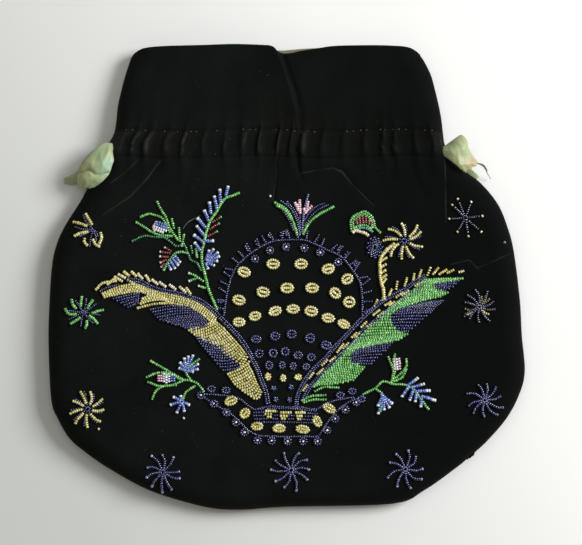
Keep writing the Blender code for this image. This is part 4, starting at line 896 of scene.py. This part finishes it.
def navy_rosettes():
    """The navy rosettes in rows over the basket, with three small gold ones between."""
    beads = [bead for oval in NAVY_ROSETTES for bead in rosette(*oval, "navy")]
    return beads + [bead for oval in SMALL_GOLD for bead in rosette(*oval, "gold")]


def arch():
    """The arch with its outside rays and the flowers under it."""
    beads = strand(ARCH, "navy")
    places, ahead = resample(ARCH, 2.0)
    for place in np.linspace(3, len(places) - 4, ARCH_RAYS).astype(int):
        step = ahead[place] / np.hypot(*ahead[place])
        out = np.array((step[1], -step[0])) + ARCH_RAY_LEAN * step * chance.normal(0, 1)
        end = places[place] + out * ARCH_RAY_LENGTH * chance.uniform(0.85, 1.05)
        beads += strand((places[place] + out * BEAD_SPACING, end), "navy")
        if chance.uniform() < ARCH_TWIN_PART:
            aside = step * 2.1 * chance.choice((-1, 1))
            beads += strand((places[place] + out * 2 * BEAD_SPACING + aside, end + aside - out), "navy")
    return beads + berries(ARCH_FLOWERS)


def left_plume():
    """Gold and dark blue fields under a double spine, with a gold fringe."""
    beads = []
    for line in LEFT_FRINGE:
        beads += strand(line, "cream" if chance.uniform() < CREAM_PART else "gold", size=THICK_SIZE)
    beads += strand(LEFT_TIP, "gold", size=1.1) + strand(LEFT_EDGE, "navy")
    beads += double_row(LEFT_SPINE, LEFT_SPINE_REACH)
    for rows in (LEFT_GOLD, LEFT_GOLD_BAND, LEFT_GOLD_NOTCH, LEFT_GOLD_FAN, LEFT_GOLD_JOIN,
                 LEFT_GOLD_FOOT):
        beads += field(rows, "gold")
    for rows in (LEFT_NAVY_TIP, LEFT_NAVY_MIDDLE, LEFT_NAVY_FOOT):
        beads += field(rows, "navy")
    return beads


def right_plume():
    """Green and dark blue fields under a double spine with gold dashes between."""
    beads = []
    for line in (RIGHT_UPPER, RIGHT_LOWER):
        beads += double_row(line, RIGHT_SPINE_REACH)
    beads += strands(RIGHT_DASHES + RIGHT_FRINGE[:-1], "gold")
    beads += tipped(RIGHT_FRINGE[-1], "gold", "pink")
    beads += field(RIGHT_GREEN, "green") + field(RIGHT_LEAF, "green") + strand(RIGHT_LOOSE_ROW, "green")
    for rows in (RIGHT_NAVY_TIP, RIGHT_NAVY_MIDDLE, RIGHT_NAVY_FOOT):
        beads += field(rows, "navy")
    return beads


def basket():
    """The basket's outlines, checkered band, ovals and flowers."""
    beads = strands((BASKET_RIM, BASKET_HEM), "navy")
    gold = strands(BASKET_GOLD, "gold", size=1.1)
    for bead in strands(BASKET_ROWS, "navy", spacing=2.3, size=0.9):
        if all(math.hypot(bead[0] - near[0], bead[1] - near[1]) > BASKET_GOLD_REACH for near in gold):
            beads.append(bead)
    beads += gold
    for oval in BASKET_OVALS:
        beads += rosette(*oval, "gold")
    for column, row in BASKET_ENDS:
        beads += rosette(column, row, 5, 4, 0, "navy")
    return beads + berries(BASKET_FLOWERS)


def fan(base, tips):
    """Thick blue rays from one base, each with a white bead at its end."""
    beads = []
    for tip in tips:
        run = np.array(tip) - base
        beads += tipped((base + 0.2 * run, base + run), "blue", "white", size=THICK_SIZE)
    return beads


def strands(lines, colour, **extra):
    """Rows of beads of one colour."""
    return [bead for line in lines for bead in strand(line, colour, **extra)]


def tipped_rows(lines, colour, tip, tip_count=1, **extra):
    """Rows of beads whose last beads have their own colour."""
    return [bead for line in lines for bead in tipped(line, colour, tip, tip_count, **extra)]


def upper_left_sprig():
    """A green stem with blue, red and white flowers."""
    beads = strand(UPPER_STEM, "green", size=1.15)
    beads += tipped_rows(UPPER_BLUES, "blue", "white", size=1.35)
    beads += tipped_rows(UPPER_REDS, "red", "green")
    for line in UPPER_GREENS:
        beads += strand(line, "moss" if chance.uniform() < MOSS_PART else "green")
    beads += tipped_rows(UPPER_PALE, "green", "white")
    beads += tipped_rows(UPPER_RED_FAN, "red", "pink")
    beads += fan(UPPER_BUD, UPPER_BUD_TIPS)
    beads += cluster(*UPPER_BLOSSOM, ("blue", "white", "white")) + strand(UPPER_CALYX, "pink")
    return beads + tipped_rows(UPPER_CUP, "blue", "white", size=THICK_SIZE)


def lower_left_sprig():
    """The small sprig left of the basket."""
    beads = strands(LOWER_LEFT_STEMS, "green")
    beads += fan(LOWER_LEFT_FLOWER, LOWER_LEFT_TIPS) + fan(LOWER_LEFT_BUD, LOWER_LEFT_BUD_TIPS)
    return beads + cluster(*LOWER_LEFT_BLOSSOM, ("blue", "white", "white", "pink", "pink"))


def lower_right_sprig():
    """The small sprig right of the basket."""
    beads = strands(LOWER_RIGHT_STEMS, "green")
    for lines, tip_count in ((LOWER_RIGHT_TIPS, 1), (LOWER_RIGHT_BLUES, 2), (LOWER_RIGHT_LOWER, 1)):
        beads += tipped_rows(lines, "blue", "white", tip_count, size=1.25)
    return beads + cluster(*LOWER_RIGHT_BLOSSOM, ("pink", "white", "pink"))


def gold_twig():
    """The gold twig with its rose and curl."""
    beads = strand(TWIG, "gold", size=1.35) + strand(ROSE_FOOT, "cream", size=1.3)
    beads += strands(TWIG_SIDES, "gold", size=1.1) + strand(ROSE_RIM, "green")
    beads += strand(side_line(ROSE_RIM[:-1], ROSE_RIM_STEP), "green", smooth=False)
    beads += strands(ROSE_FOLDS, "red", spacing=1.9)
    for line, colour in zip(ROSE_BAND, ("green", "turquoise")):
        beads += strand(line, colour)
    for number in range(CURL_RAYS):
        line = []
        for share in (0.3, 0.65, 1.0):
            angle = 2 * math.pi * number / CURL_RAYS + CURL_TURN * share
            line.append((CURL_CENTRE[0] + CURL_REACH[0] * share * math.cos(angle),
                         CURL_CENTRE[1] - CURL_REACH[1] * share * math.sin(angle)))
        beads += strand(line, "navy")
    return beads


def tulip():
    """The tulip over the arch, and the few loose beads left on the cloth."""
    beads = []
    for line, colour in TULIP:
        beads += strand(line, colour, size=1.15 if colour == "green" else 0.9)
    beads += strands(TULIP_KNOBS, "pink", size=THICK_SIZE)
    return beads + [(column, row, 0.5, 1.0, colour) for column, row, colour in LOOSE_BEADS]


# Silk drawstrings: stations along an end, each the column and row of its left or upper edge, of
# its other edge, and its height over the table in mm
RIBBON_THICKNESS = 0.15 * MM
RIBBON_STRIPS = 26
FRAYED_GREY = "#5E6652"
LEFT_END = ((117, 144, 117, 152, 8.2), (110, 143, 113, 153, 10.0), (102.5, 143.8, 114.0, 160, 11.6),
            (94, 151.3, 113.2, 163.5, 12.4), (86, 160.7, 112, 167, 12.4), (79.3, 169, 109.4, 174, 12.0),
            (77.4, 179, 102, 182, 10.6), (77.6, 187, 92.5, 188, 8.4))
LEFT_TAIL = ((116, 139, 118, 145, 3.4), (105, 142.5, 111, 151.5, 3.0), (92.5, 149.5, 103.5, 160.5, 2.6),
             (82, 159.5, 94, 172.5, 2.4), (75.5, 169.5, 82.5, 180.5, 2.2), (69, 174.5, 71, 183.5, 1.8),
             (63, 177, 63, 183, 1.5))
RIGHT_END = ((441, 147.5, 441, 155.5, 8.2), (447, 144, 446, 157.5, 10.0), (454, 139, 449.5, 160.3, 11.4),
             (461, 134.8, 453.5, 163.5, 12.0), (466.5, 139.5, 457, 166.5, 12.0),
             (469, 148.5, 460, 169.2, 11.4), (474, 156.5, 462.6, 171, 10.4),
             (479.3, 163.4, 464.8, 172.6, 9.4))
RIGHT_TAIL = ((441, 146, 441, 155, 3.4), (450, 151, 447, 160, 3.2), (460, 158, 455, 167, 3.0),
              (468, 165, 462.5, 172, 2.8), (474, 170, 470, 176, 2.6), (480, 175.6, 476.6, 179.4, 2.4))
FRAYED_STRAND = ((477, 163, 1.0, 9.0), (483, 165, 2.2, 8.0), (487, 169.5, 1.8, 6.0), (488, 172.5, 0.8, 4.5),
                 (492, 178.5, 0.5, 1.5))
THREAD_LIFT = 0.1
LOOSE_THREAD = ((183, 229, 0.5), (186, 224.5, 0.7), (190, 221, 0.8), (200, 216, 0.7))
SIDE_TILT = 1.1 * MM
CREASE_PLACE = 0.72
CREASE_WIDTH = 0.018
CREASE_DEPTH = 1.3 * MM
FOLD_DEPTH = 0.5 * MM
FOLD_SPACING = 3.6
BOW_HEIGHT = 0.9 * MM
FRAY = ((0.7, 9), (0.5, 31))
CRUSH_FOLDS = 5
CRUSH_WIDTH = 4.6 * MM
CRUSH_HEIGHT = 0.95 * MM
HIDDEN_LEFT = 121.0
HIDDEN_RIGHT = 438.0
HIDDEN_STATIONS = 26
HIDDEN_TURN = 1.5
HIDDEN_LEVELS = (NECK_HEIGHT - 2.6 * MM, 6.4 * MM, 4.2 * MM, 2.0 * MM)


def wrinkle(x, y, seed):
    """Broad silk folds with sharper crests, from about -1 to 1."""
    value = 0.0
    for turn, scale, part in ((0.5, 0.55, 0.6), (1.9, 0.95, 0.3), (2.7, 2.1, 0.1)):
        along = x * math.cos(turn + seed) + y * math.sin(turn + seed)
        over = -x * math.sin(turn + seed) + y * math.cos(turn + seed)
        value += part * (1 - 2 * abs(math.sin(along * scale + 1.1 * math.sin(over * 0.5 + seed))))
    return value


def crushed(share):
    """The height of the fine folds across a gathered ribbon, at shares from -1 to 1."""
    return CRUSH_HEIGHT * 0.5 * math.cos(share * math.pi * CRUSH_FOLDS)


def open_end(stations, seed, tilt=0.0, crease=0.0):
    """The places across a ribbon's free end, station by station, crumpled."""
    known = smooth_line(stations, 7)
    rows = []
    middle = (known[:, :2] + known[:, 2:4]) / 2
    ahead = np.gradient(middle, axis=0)
    for index, height in enumerate(known[:, 4]):
        over = (known[index, :2] - known[index, 2:4]) / 2
        half = np.hypot(*over)
        line = []
        for share in np.linspace(-1, 1, RIBBON_STRIPS + 1):
            spot = middle[index] + over * share
            fray = sum(reach * math.sin(share * turns + seed) for reach, turns in FRAY)
            spot += ahead[index] / np.hypot(*ahead[index]) * fray * (index / len(known)) ** 4
            x, y = on_bag(*spot)
            folds = wrinkle(*(spot / FOLD_SPACING), seed) * FOLD_DEPTH
            bow = BOW_HEIGHT * (1 - share * share) - 2 * BOW_HEIGHT * max(abs(share) - 0.8, 0)
            crush = crushed(share) * max(1 - half / 9, 0)
            creased = index / len(known) - CREASE_PLACE + 0.03 * math.sin(share * 5)
            fold = crease * math.exp(-(creased / CREASE_WIDTH) ** 2)
            open_part = min(half / 8, 1)
            level = height * MM + folds * open_part + bow + crush
            line.append((x, y, level - share * tilt * open_part - fold))
        rows.append(line)
    return np.array(rows)


def hidden_run(row, from_left):
    """The gathered ribbon inside the casing: along the front, round the far seam and back."""
    over, upper, lower, under = HIDDEN_LEVELS
    columns = np.linspace(HIDDEN_LEFT, HIDDEN_RIGHT, HIDDEN_STATIONS)
    places = [(column, over) for column in columns]
    places += [(HIDDEN_RIGHT + HIDDEN_TURN, height) for height in (upper, lower)]
    places += [(column, under) for column in columns[::-1]]
    if not from_left:
        places = [(HIDDEN_LEFT + HIDDEN_RIGHT - column, height) for column, height in places]
    rows = []
    for column, height in smooth_line(places, 3):
        x, y = on_bag(column, row)
        rows.append([(x, y + share * CRUSH_WIDTH / 2, height + crushed(share))
                     for share in np.linspace(-1, 1, RIBBON_STRIPS + 1)])
    return np.array(rows)


def drawstring(name, end, tail, row, from_left, seed, crease):
    """One silk ribbon: free end, casing, and the other free end under the first."""
    top = open_end(end, seed, SIDE_TILT, crease)[::-1]
    under = open_end(tail, seed + 2)
    places = np.concatenate([top, hidden_run(row, from_left), under])
    piece = grid_object(name, places)
    thicken(piece, RIBBON_THICKNESS)
    return piece


def loose_strand(name, stations):
    """A torn thread through stations of column, row, width in squares and height."""
    rows = []
    for column, row, wide, height in smooth_line(stations, 6):
        x, y = on_bag(column, row)
        reach = wide * SQUARE_X / 2
        rows.append([(x + reach * math.cos(angle), y + reach * math.sin(angle),
                      height * MM + 0.2 * MM * math.sin(angle * 2))
                     for angle in np.linspace(0, 2 * math.pi, 9)[:-1]])
    return grid_object(name, np.array(rows), closed=True)


# Stitches that hold the casing, seen as pale dots between the gathers
STITCH_SPAN = (126, 436)
STITCH_STEP = 6.5
STITCH_RADIUS = 0.12 * MM
STITCH_HALF = 0.3 * MM
STITCH_SIDES = 6
STITCH_ENDS = ((-1, 0.3), (-0.6, 1), (0.6, 1), (1, 0.3))
STITCH_LIFT = 0.05
STITCH_MISSING = 0.45


def stitches(cloth):
    """Short thread dashes along the casing's upper seam."""
    corners, faces = [], []
    for column in np.arange(*STITCH_SPAN, STITCH_STEP):
        row = STITCH_ROWS[0] + seam_waver(column) + chance.normal(0, 0.25)
        column += chance.normal(0, 0.6)
        hit, normal = on_cloth(cloth, column, row)
        if chance.uniform() < STITCH_MISSING:
            continue
        half = STITCH_HALF * chance.uniform(0.5, 1.2)
        ahead = Vector((1, chance.normal(0, 0.25), 0)).normalized()
        over = normal.cross(ahead).normalized()
        first = len(corners)
        for share, narrow in STITCH_ENDS:
            width = STITCH_RADIUS * narrow
            for angle in range(STITCH_SIDES):
                turned = 2 * math.pi * angle / STITCH_SIDES
                corners.append(hit + normal * STITCH_LIFT * MM + ahead * half * share
                               + over * width * math.cos(turned) + normal * width * math.sin(turned))
        sides = range(first, first + STITCH_SIDES)
        faces += [[first + corner for corner in face]
                  for face in grid_faces(len(STITCH_ENDS), STITCH_SIDES, closed=True)]
        faces += [list(reversed(sides)), [side + (len(STITCH_ENDS) - 1) * STITCH_SIDES for side in sides]]
    return new_mesh("casing_stitches", corners, faces)


# Materials. Noise scales are in waves a metre, with the size of a patch beside them
MOTTLE_SCALE = 110.0  # 9 mm
NAP_SCALE = 60.0  # 17 mm
LINT_SCALE = 1100.0  # 0.9 mm
PILE_SCALE = 2600.0  # 0.4 mm
WEAVE_SCALE = 1800.0  # 0.6 mm
LINING_PATCHES = 60.0  # 17 mm
RIBBON_PATCHES = 90.0  # 11 mm
VELVET_SHEEN = "#7E8482"
WEAR_GAIN = 1.7
# Painted highlight: its strength on the gather crests
CREST_HIGHLIGHT_GAIN = 1.2
# Painted highlight: its strength on the thin crease lines
CREASE_HIGHLIGHT_PART = 0.3
# Painted shade: how much darker the velvet gets towards the right
RIGHT_PAINTED_SHADE = 0.8
LINING_FADED = "#6E6C52"
RIBBON_GREEN = "#BCD2A4"
RIBBON_FADED = "#8A8A5C"
# Ribbon marks: olive painted shade on the shaded sides, pale painted highlight on the lit faces, and a real
# rust stain
SILK_MARKS = (("painted_shade", "#94925F"), ("painted_highlight", "#B4DCC4"), ("stained", "#C58F66"))
RIBBON_MARKS = {"painted_shade": ((84, 168, 8, 0.8), (81, 182, 7, 0.45), (454, 160, 7, 0.55), (462, 168, 6, 0.5)),
                "painted_highlight": ((108, 163, 6, 0.7), (104, 172, 5, 0.6), (98, 150, 5, 0.3)),
                "stained": ((472, 161, 4, 0.75), (468, 166, 3, 0.4))}


def add_node(tree, kind, links=(), numbers=(), **values):
    """A node with its values set, by name or by an input's number, and its inputs linked."""
    node = tree.nodes.new(kind)
    for target, value in numbers:
        node.inputs[target].default_value = value
    for name, value in values.items():
        if hasattr(node, name):
            setattr(node, name, value)
        else:
            node.inputs[name.replace("_", " ")].default_value = value
    for target, source in links:
        tree.links.new(source, node.inputs[target])
    return node


def ramp(tree, value, low, high, start=0.0, end=1.0):
    """A value between low and high, turned into one between start and end."""
    return add_node(tree, "ShaderNodeMapRange", [("Value", value)], From_Min=low, From_Max=high,
                    To_Min=start, To_Max=end).outputs[0]


def mix(tree, factor, start, end):
    """A colour between two, of which the first is a colour code or another node's output."""
    node = add_node(tree, "ShaderNodeMix", [("Factor", factor)], data_type="RGBA")
    node.inputs[7].default_value = (*linear(end), 1)
    if isinstance(start, str):
        node.inputs[6].default_value = (*linear(start), 1)
    else:
        tree.links.new(start, node.inputs[6])
    return node.outputs[2]


def noise(tree, place, scale, detail, **values):
    """A noise pattern over the object."""
    return add_node(tree, "ShaderNodeTexNoise", [("Vector", place)], Scale=scale, Detail=detail,
                    **values).outputs["Fac"]


def finish_shader(tree, colour, height, strength, distance):
    """The colour and the fine relief of a cloth into its shader."""
    shader = tree.nodes["Principled BSDF"]
    bump = add_node(tree, "ShaderNodeBump", [("Height", height)], Strength=strength, Distance=distance)
    tree.links.new(colour, shader.inputs["Base Color"])
    tree.links.new(bump.outputs[0], shader.inputs["Normal"])


def plain_material(name, code, **values):
    """A Principled material with set values."""
    made = bpy.data.materials.new(name)
    made.use_nodes = True
    shader = made.node_tree.nodes["Principled BSDF"]
    shader.inputs["Base Color"].default_value = (*linear(code), 1)
    for key, value in values.items():
        shader.inputs[key.replace("_", " ")].default_value = value
    return made


def glass_materials():
    """Three close shades of each bead colour, so that a row isn't of one tone. Seed beads are dyed or
    lined glass: the smooth coat gives each one the small bright spot that the eye reads as glass."""
    return {colour: [plain_material(f"seed_bead_{colour}_{shade}", code, Roughness=0.18,
                                    Specular_IOR_Level=0.9, Coat_Weight=1.0, Coat_IOR=1.8,
                                    Coat_Roughness=0.08) for shade, code in enumerate(codes)]
            for colour, codes in GLASS.items()}


def crease_highlight_lines(tree, place, mottle):
    """How near a point lies to a thin crease line, as painted highlight from 0 to its full part."""
    flat = add_node(tree, "ShaderNodeVectorMath", [(0, place)], [(1, (1, 1, 0))],
                    operation="MULTIPLY").outputs[0]
    nearest = None
    for start, end in [pair for line in CREASE_HIGHLIGHT_LINES for pair in zip(line, line[1:])]:
        start, end = Vector((*on_bag(*start), 0)), Vector((*on_bag(*end), 0))
        run = end - start
        away = add_node(tree, "ShaderNodeVectorMath", [(0, flat)], [(1, start)],
                        operation="SUBTRACT").outputs[0]
        along = add_node(tree, "ShaderNodeVectorMath", [(0, away)], [(1, run / run.length_squared)],
                         operation="DOT_PRODUCT").outputs["Value"]
        share = add_node(tree, "ShaderNodeMath", [(0, along)], [(1, 0)], operation="ADD", use_clamp=True)
        foot = add_node(tree, "ShaderNodeVectorMath", [("Scale", share.outputs[0])], [(0, run)],
                        operation="SCALE")
        gap = add_node(tree, "ShaderNodeVectorMath", [(0, away), (1, foot.outputs[0])],
                       operation="DISTANCE").outputs["Value"]
        if nearest is not None:
            gap = add_node(tree, "ShaderNodeMath", [(0, nearest), (1, gap)], operation="MINIMUM").outputs[0]
        nearest = gap
    near = ramp(tree, nearest, 0.0, CREASE_HIGHLIGHT_HALF_WIDTH * SQUARE_X, CREASE_HIGHLIGHT_PART, 0.0)
    return add_node(tree, "ShaderNodeMath", [(0, near), (1, ramp(tree, mottle, 0.35, 0.65))],
                    operation="MULTIPLY").outputs[0]


def velvet_material():
    """Black silk velvet. Its pile takes nearly all light and only glows a little at its edge, so the
    eye sees depth and not a flat black; it is browner with wear in the casing and carries pale lint.
    Painted highlight greys the gather crests and thin lines along the creases, and painted shade
    for the leaning pile deepens the black towards the right."""
    made = plain_material("black_silk_velvet", VELVET_BLACK, Roughness=0.9, Sheen_Weight=0.07,
                          Sheen_Roughness=0.35, Sheen_Tint=(*linear(VELVET_SHEEN), 1),
                          Specular_IOR_Level=0.1)
    tree = made.node_tree
    place = add_node(tree, "ShaderNodeTexCoord").outputs["Object"]
    mottle = noise(tree, place, MOTTLE_SCALE, 5.0, Roughness=0.65)
    tone = mix(tree, noise(tree, place, NAP_SCALE, 5.0), VELVET_BLACK, VELVET_NAP)
    # The brown wear is the velvet's own colour; the grey on the gather crests is painted highlight
    for mark, code, gain in (("wear", VELVET_WORN, WEAR_GAIN), ("crest_highlight", VELVET_PAINTED_HIGHLIGHT, CREST_HIGHLIGHT_GAIN)):
        wear_and_highlight = add_node(tree, "ShaderNodeAttribute", attribute_name=mark).outputs["Fac"]
        part = add_node(tree, "ShaderNodeMath", [(0, wear_and_highlight), (1, mottle)], operation="MULTIPLY").outputs[0]
        part = add_node(tree, "ShaderNodeMath", [(0, part)], [(1, gain)], operation="MULTIPLY",
                        use_clamp=True).outputs[0]
        tone = mix(tree, part, tone, code)
    specks = ramp(tree, noise(tree, place, LINT_SCALE, 2.0), 0.73, 0.80, 0.0, 0.4)
    across = add_node(tree, "ShaderNodeSeparateXYZ", [(0, place)]).outputs[0]
    # Painted shade: the velvet darkens towards the right, for the leaning pile
    painted_shade_right = ramp(tree, across, -0.02, 0.07, 0.0, RIGHT_PAINTED_SHADE)
    # Mixed in: real lint specks, the painted shade at the right and the painted highlight lines
    for factor, code in ((specks, LINT_GREY), (painted_shade_right, VELVET_BLACK),
                         (crease_highlight_lines(tree, place, mottle), VELVET_PAINTED_HIGHLIGHT)):
        tone = mix(tree, factor, tone, code)
    finish_shader(tree, tone, noise(tree, place, PILE_SCALE, 3.0), 0.5, 0.0004)
    return made


def silk_material(name, code, darker, scale):
    """Thin silk. A soft sheen and uneven fading tell it from cotton, and the fine weave keeps the
    light from running over it as over plastic."""
    made = plain_material(name, code, Roughness=0.42, Sheen_Weight=0.25)
    tree = made.node_tree
    place = add_node(tree, "ShaderNodeTexCoord").outputs["Object"]
    tone = mix(tree, noise(tree, place, scale, 4.0), darker, code)
    # Painted shade and painted highlight on the ribbons, and their real stain
    for mark, shade in SILK_MARKS:
        part = add_node(tree, "ShaderNodeAttribute", attribute_name=mark).outputs["Fac"]
        tone = mix(tree, part, tone, shade)
    finish_shader(tree, tone, noise(tree, place, WEAVE_SCALE, 2.0), 0.25, 0.0002)
    return made


GLASS_MATERIALS = glass_materials()

# Brown patches in the velvet: column, row, half width, half height and strength
WORN_SPOTS = ((168, 140, 22, 12, 0.4), (292, 130, 30, 20, 0.4), (372, 140, 40, 14, 0.2),
              (428, 142, 14, 16, 0.2))
WORN_ALL_OVER = 0.03
# Painted highlight on the gather crests, by the fourth power of their height
CREST_HIGHLIGHT_PART = 0.5


def mark_points(piece, name, values):
    """A number from 0 to 1 on every point of a piece."""
    mark = piece.data.attributes.new(name, "FLOAT", "POINT")
    mark.data.foreach_set("value", np.clip(values, 0, 1).astype(np.float32))


def point_places(piece):
    """The column and row of each point of a piece."""
    places = np.empty(len(piece.data.vertices) * 3)
    piece.data.vertices.foreach_get("co", places)
    places = places.reshape(-1, 3)
    return on_chart(places[:, 0], places[:, 1])


def paint_silk(piece):
    """Mark a ribbon's painted shade, its painted highlight and its rust stain."""
    columns, rows = point_places(piece)
    for name, spots in RIBBON_MARKS.items():
        mark_points(piece, name, sum(part * np.exp(-np.hypot(columns - column, rows - row) ** 2 / wide ** 2)
                                     for column, row, wide, part in spots))


def paint_wear_and_highlight(piece):
    """Mark where the velvet is brown with age, and the painted highlight on the gathers' crests."""
    columns, rows = point_places(piece)
    wear = np.full(len(columns), WORN_ALL_OVER)
    for column, row, wide, high, part in WORN_SPOTS:
        wear += part * np.exp(-((columns - column) / wide) ** 2 - ((rows - row) / high) ** 2)
    mark_points(piece, "wear", wear)
    # Painted highlight along the gather crests
    mark_points(piece, "crest_highlight", CREST_HIGHLIGHT_PART * gathers(columns, rows) ** 4)


def finish_cloth(piece, stuff, slot, node, thickness):
    """Material, thickness and place in the frame for one panel."""
    piece.data.materials.append(stuff)
    thicken(piece, thickness)
    mount(piece, slot, node)


def build_bag():
    """All pieces of the reticule."""
    velvet = velvet_material()
    front, back = velvet_front(), velvet_back()
    paint_wear_and_highlight(front)
    paint_wear_and_highlight(back)
    bpy.context.view_layer.update()
    cloth = BVHTree.FromObject(front, bpy.context.evaluated_depsgraph_get())
    dashes = stitches(cloth)
    dashes.data.materials.append(plain_material("linen_thread", STITCH_BEIGE, Roughness=0.8))
    mount(dashes, "lining")
    beads(cloth)
    finish_cloth(front, velvet, "velvet", "velvet_front", VELVET_THICKNESS)
    finish_cloth(back, velvet, "velvet", "velvet_back", VELVET_THICKNESS)
    silk = silk_material("olive_silk_lining", LINING_OLIVE, LINING_FADED, LINING_PATCHES)
    for node, height, mouth, side, end_row in (("lining_front", front_height, FRONT_MOUTH, -1, 56.0),
                                               ("lining_back", back_height, BACK_MOUTH, 1, 50.5)):
        inside = lining(node + "_silk", height, mouth, side, end_row)
        finish_cloth(inside, silk, "lining", node, LINING_THICKNESS)
    ribbon_silk = silk_material("green_silk_ribbon", RIBBON_GREEN, RIBBON_FADED, RIBBON_PATCHES)
    for side, shape in (("left", (LEFT_END, LEFT_TAIL, 136, True, 0.6, CREASE_DEPTH)),
                        ("right", (RIGHT_END, RIGHT_TAIL, 149, False, 3.4, 0.0))):
        piece = drawstring("ribbon_" + side, *shape)
        piece.data.materials.append(ribbon_silk)
        paint_silk(piece)
        mount(piece, "ribbon", "drawstring_" + side)
    spots = np.array(LOOSE_THREAD)
    levels = front_height(spots[:, :1], spots[:, 1:2]) / MM + THREAD_LIFT
    resting = np.hstack([spots, levels])
    for name, stations, code in (("ribbon_right_frayed_strand", FRAYED_STRAND, FRAYED_GREY),
                                 ("loose_sewing_thread", resting, LINT_GREY)):
        torn = loose_strand(name, stations)
        torn.data.materials.append(plain_material(name + "_silk", code, Roughness=0.7))
        mount(torn, "ribbon")


def beads(cloth):
    """All bead motifs, each in place of its plain form in the frame."""
    for name, drawing in STARS.items():
        rays = worn_star(drawing) if name == "star_brown_right" else star(*drawing)
        bead_piece(name + "_beads", rays, cloth, STAR_SLOTS[name.split("_")[1]], (name,))
    bead_piece("star_navy_upper_right_beads", dotted_star(), cloth, "navy_beads",
               ("star_navy_upper_right",))
    for name, drawing in DRAWN_STARS.items():
        bead_piece(name + "_beads", drawn_star(*drawing), cloth, STAR_SLOTS[name.split("_")[1]], (name,))
    plume_parts = ("navy_tip", "navy_middle", "navy_foot", "spine")
    for name, drawn, slot, nodes in (
            ("gold_rosette", gold_rosettes, "gold_beads",
             [f"gold_rosette_{number + 1}" for number in range(len(GOLD_ROSETTES))]),
            ("navy_rosette", navy_rosettes, "navy_beads", ()),
            ("left_plume", left_plume, "gold_beads",
             [f"left_plume_{part}" for part in ("gold", *plume_parts)]),
            ("right_plume", right_plume, "green_beads",
             [f"right_plume_{part}" for part in ("green", "leaf", *plume_parts)]),
            ("arch", arch, "navy_beads", ["arch"]),
            ("basket", basket, "navy_beads",
             ["basket", *(f"basket_oval_{number + 1}" for number in range(len(BASKET_OVALS)))]),
            ("tulip", tulip, "green_beads", ["tulip"]),
            ("upper_left_sprig", upper_left_sprig, "green_beads", ["sprig_upper_left"]),
            ("lower_left_sprig", lower_left_sprig, "green_beads", ["sprig_lower_left"]),
            ("lower_right_sprig", lower_right_sprig, "green_beads", ["sprig_lower_right"]),
            ("gold_twig", gold_twig, "gold_beads", ["gold_twig"])):
        bead_piece(name + "_beads", drawn(), cloth, slot, nodes)


# The photograph's table, light and camera
# Painted shade on the table: grey towards the left and bottom, white towards the right and top
TABLE_PAINTED_SHADE = "#DBDEDC"
TABLE_RIGHT = "#FFFFFF"
TABLE_HALF = 3.0
TABLE_DROP = 0.2 * MM
TABLE_TURN = (1, 0.6, 0)
TABLE_FADE = (-0.15, 0.08)
LIGHTS = (("window_right", 0.6, 17.6, (1.0, 0.38, 0.8), (0.985, 1.0, 1.0)),
          ("window_top", 1.2, 3.5, (-0.2, 0.5, 1.5), (0.96, 0.98, 1.0)))
ROOM_COLOUR = (1.0, 0.95, 0.83, 1)
ROOM_STRENGTH = 0.25
CAMERA_HEIGHT = 1.2
CAMERA_PLANE = 0.010


def table():
    """A pale paper table, with painted shade greying it towards the left and the bottom."""
    corners = [(x * TABLE_HALF, y * TABLE_HALF, 0) for x, y in ((-1, -1), (1, -1), (1, 1), (-1, 1))]
    floor = new_mesh("table", corners, [(0, 1, 2, 3)])
    floor.location.z = -TABLE_DROP
    made = plain_material("white_paper", TABLE_RIGHT, Roughness=0.9, Specular_IOR_Level=0.1)
    tree = made.node_tree
    place = add_node(tree, "ShaderNodeTexCoord").outputs["Object"]
    across = add_node(tree, "ShaderNodeVectorMath", [(0, place)], [(1, TABLE_TURN)],
                      operation="DOT_PRODUCT").outputs["Value"]
    tone = mix(tree, ramp(tree, across, *TABLE_FADE), TABLE_PAINTED_SHADE, TABLE_RIGHT)
    tree.links.new(tone, tree.nodes["Principled BSDF"].inputs["Base Color"])
    floor.data.materials.append(made)


def light(name, size, energy, place, colour):
    """A square area light that looks at the bag."""
    made = bpy.data.lights.new(name, "AREA")
    made.shape, made.size, made.energy, made.color = "SQUARE", size, energy, colour
    lamp = bpy.data.objects.new(name, made)
    bpy.context.scene.collection.objects.link(lamp)
    lamp.location = place
    lamp.rotation_euler = (-Vector(place)).to_track_quat("-Z", "Y").to_euler()


def room():
    """Faint warm light from all round."""
    world = bpy.data.worlds.new("room")
    world.use_nodes = True
    background = world.node_tree.nodes["Background"]
    background.inputs["Color"].default_value = ROOM_COLOUR
    background.inputs["Strength"].default_value = ROOM_STRENGTH
    bpy.context.scene.world = world
    bpy.context.scene.view_settings.view_transform = "Standard"


def camera():
    """Straight above the bag, framed as the photograph is."""
    made = bpy.data.cameras.new("camera")
    view = bpy.data.objects.new("camera", made)
    bpy.context.scene.collection.objects.link(view)
    x, y = on_bag(PHOTO_SIZE[0] / 2, PHOTO_SIZE[1] / 2)
    view.location = (x, y, CAMERA_PLANE + CAMERA_HEIGHT)
    made.sensor_fit = "HORIZONTAL"
    made.lens = made.sensor_width * CAMERA_HEIGHT / (PHOTO_SIZE[0] * SQUARE_X)
    made.clip_end = 20
    bpy.context.scene.camera = view


build_bag()
table()
for lamp_values in LIGHTS:
    light(*lamp_values)
room()
camera()
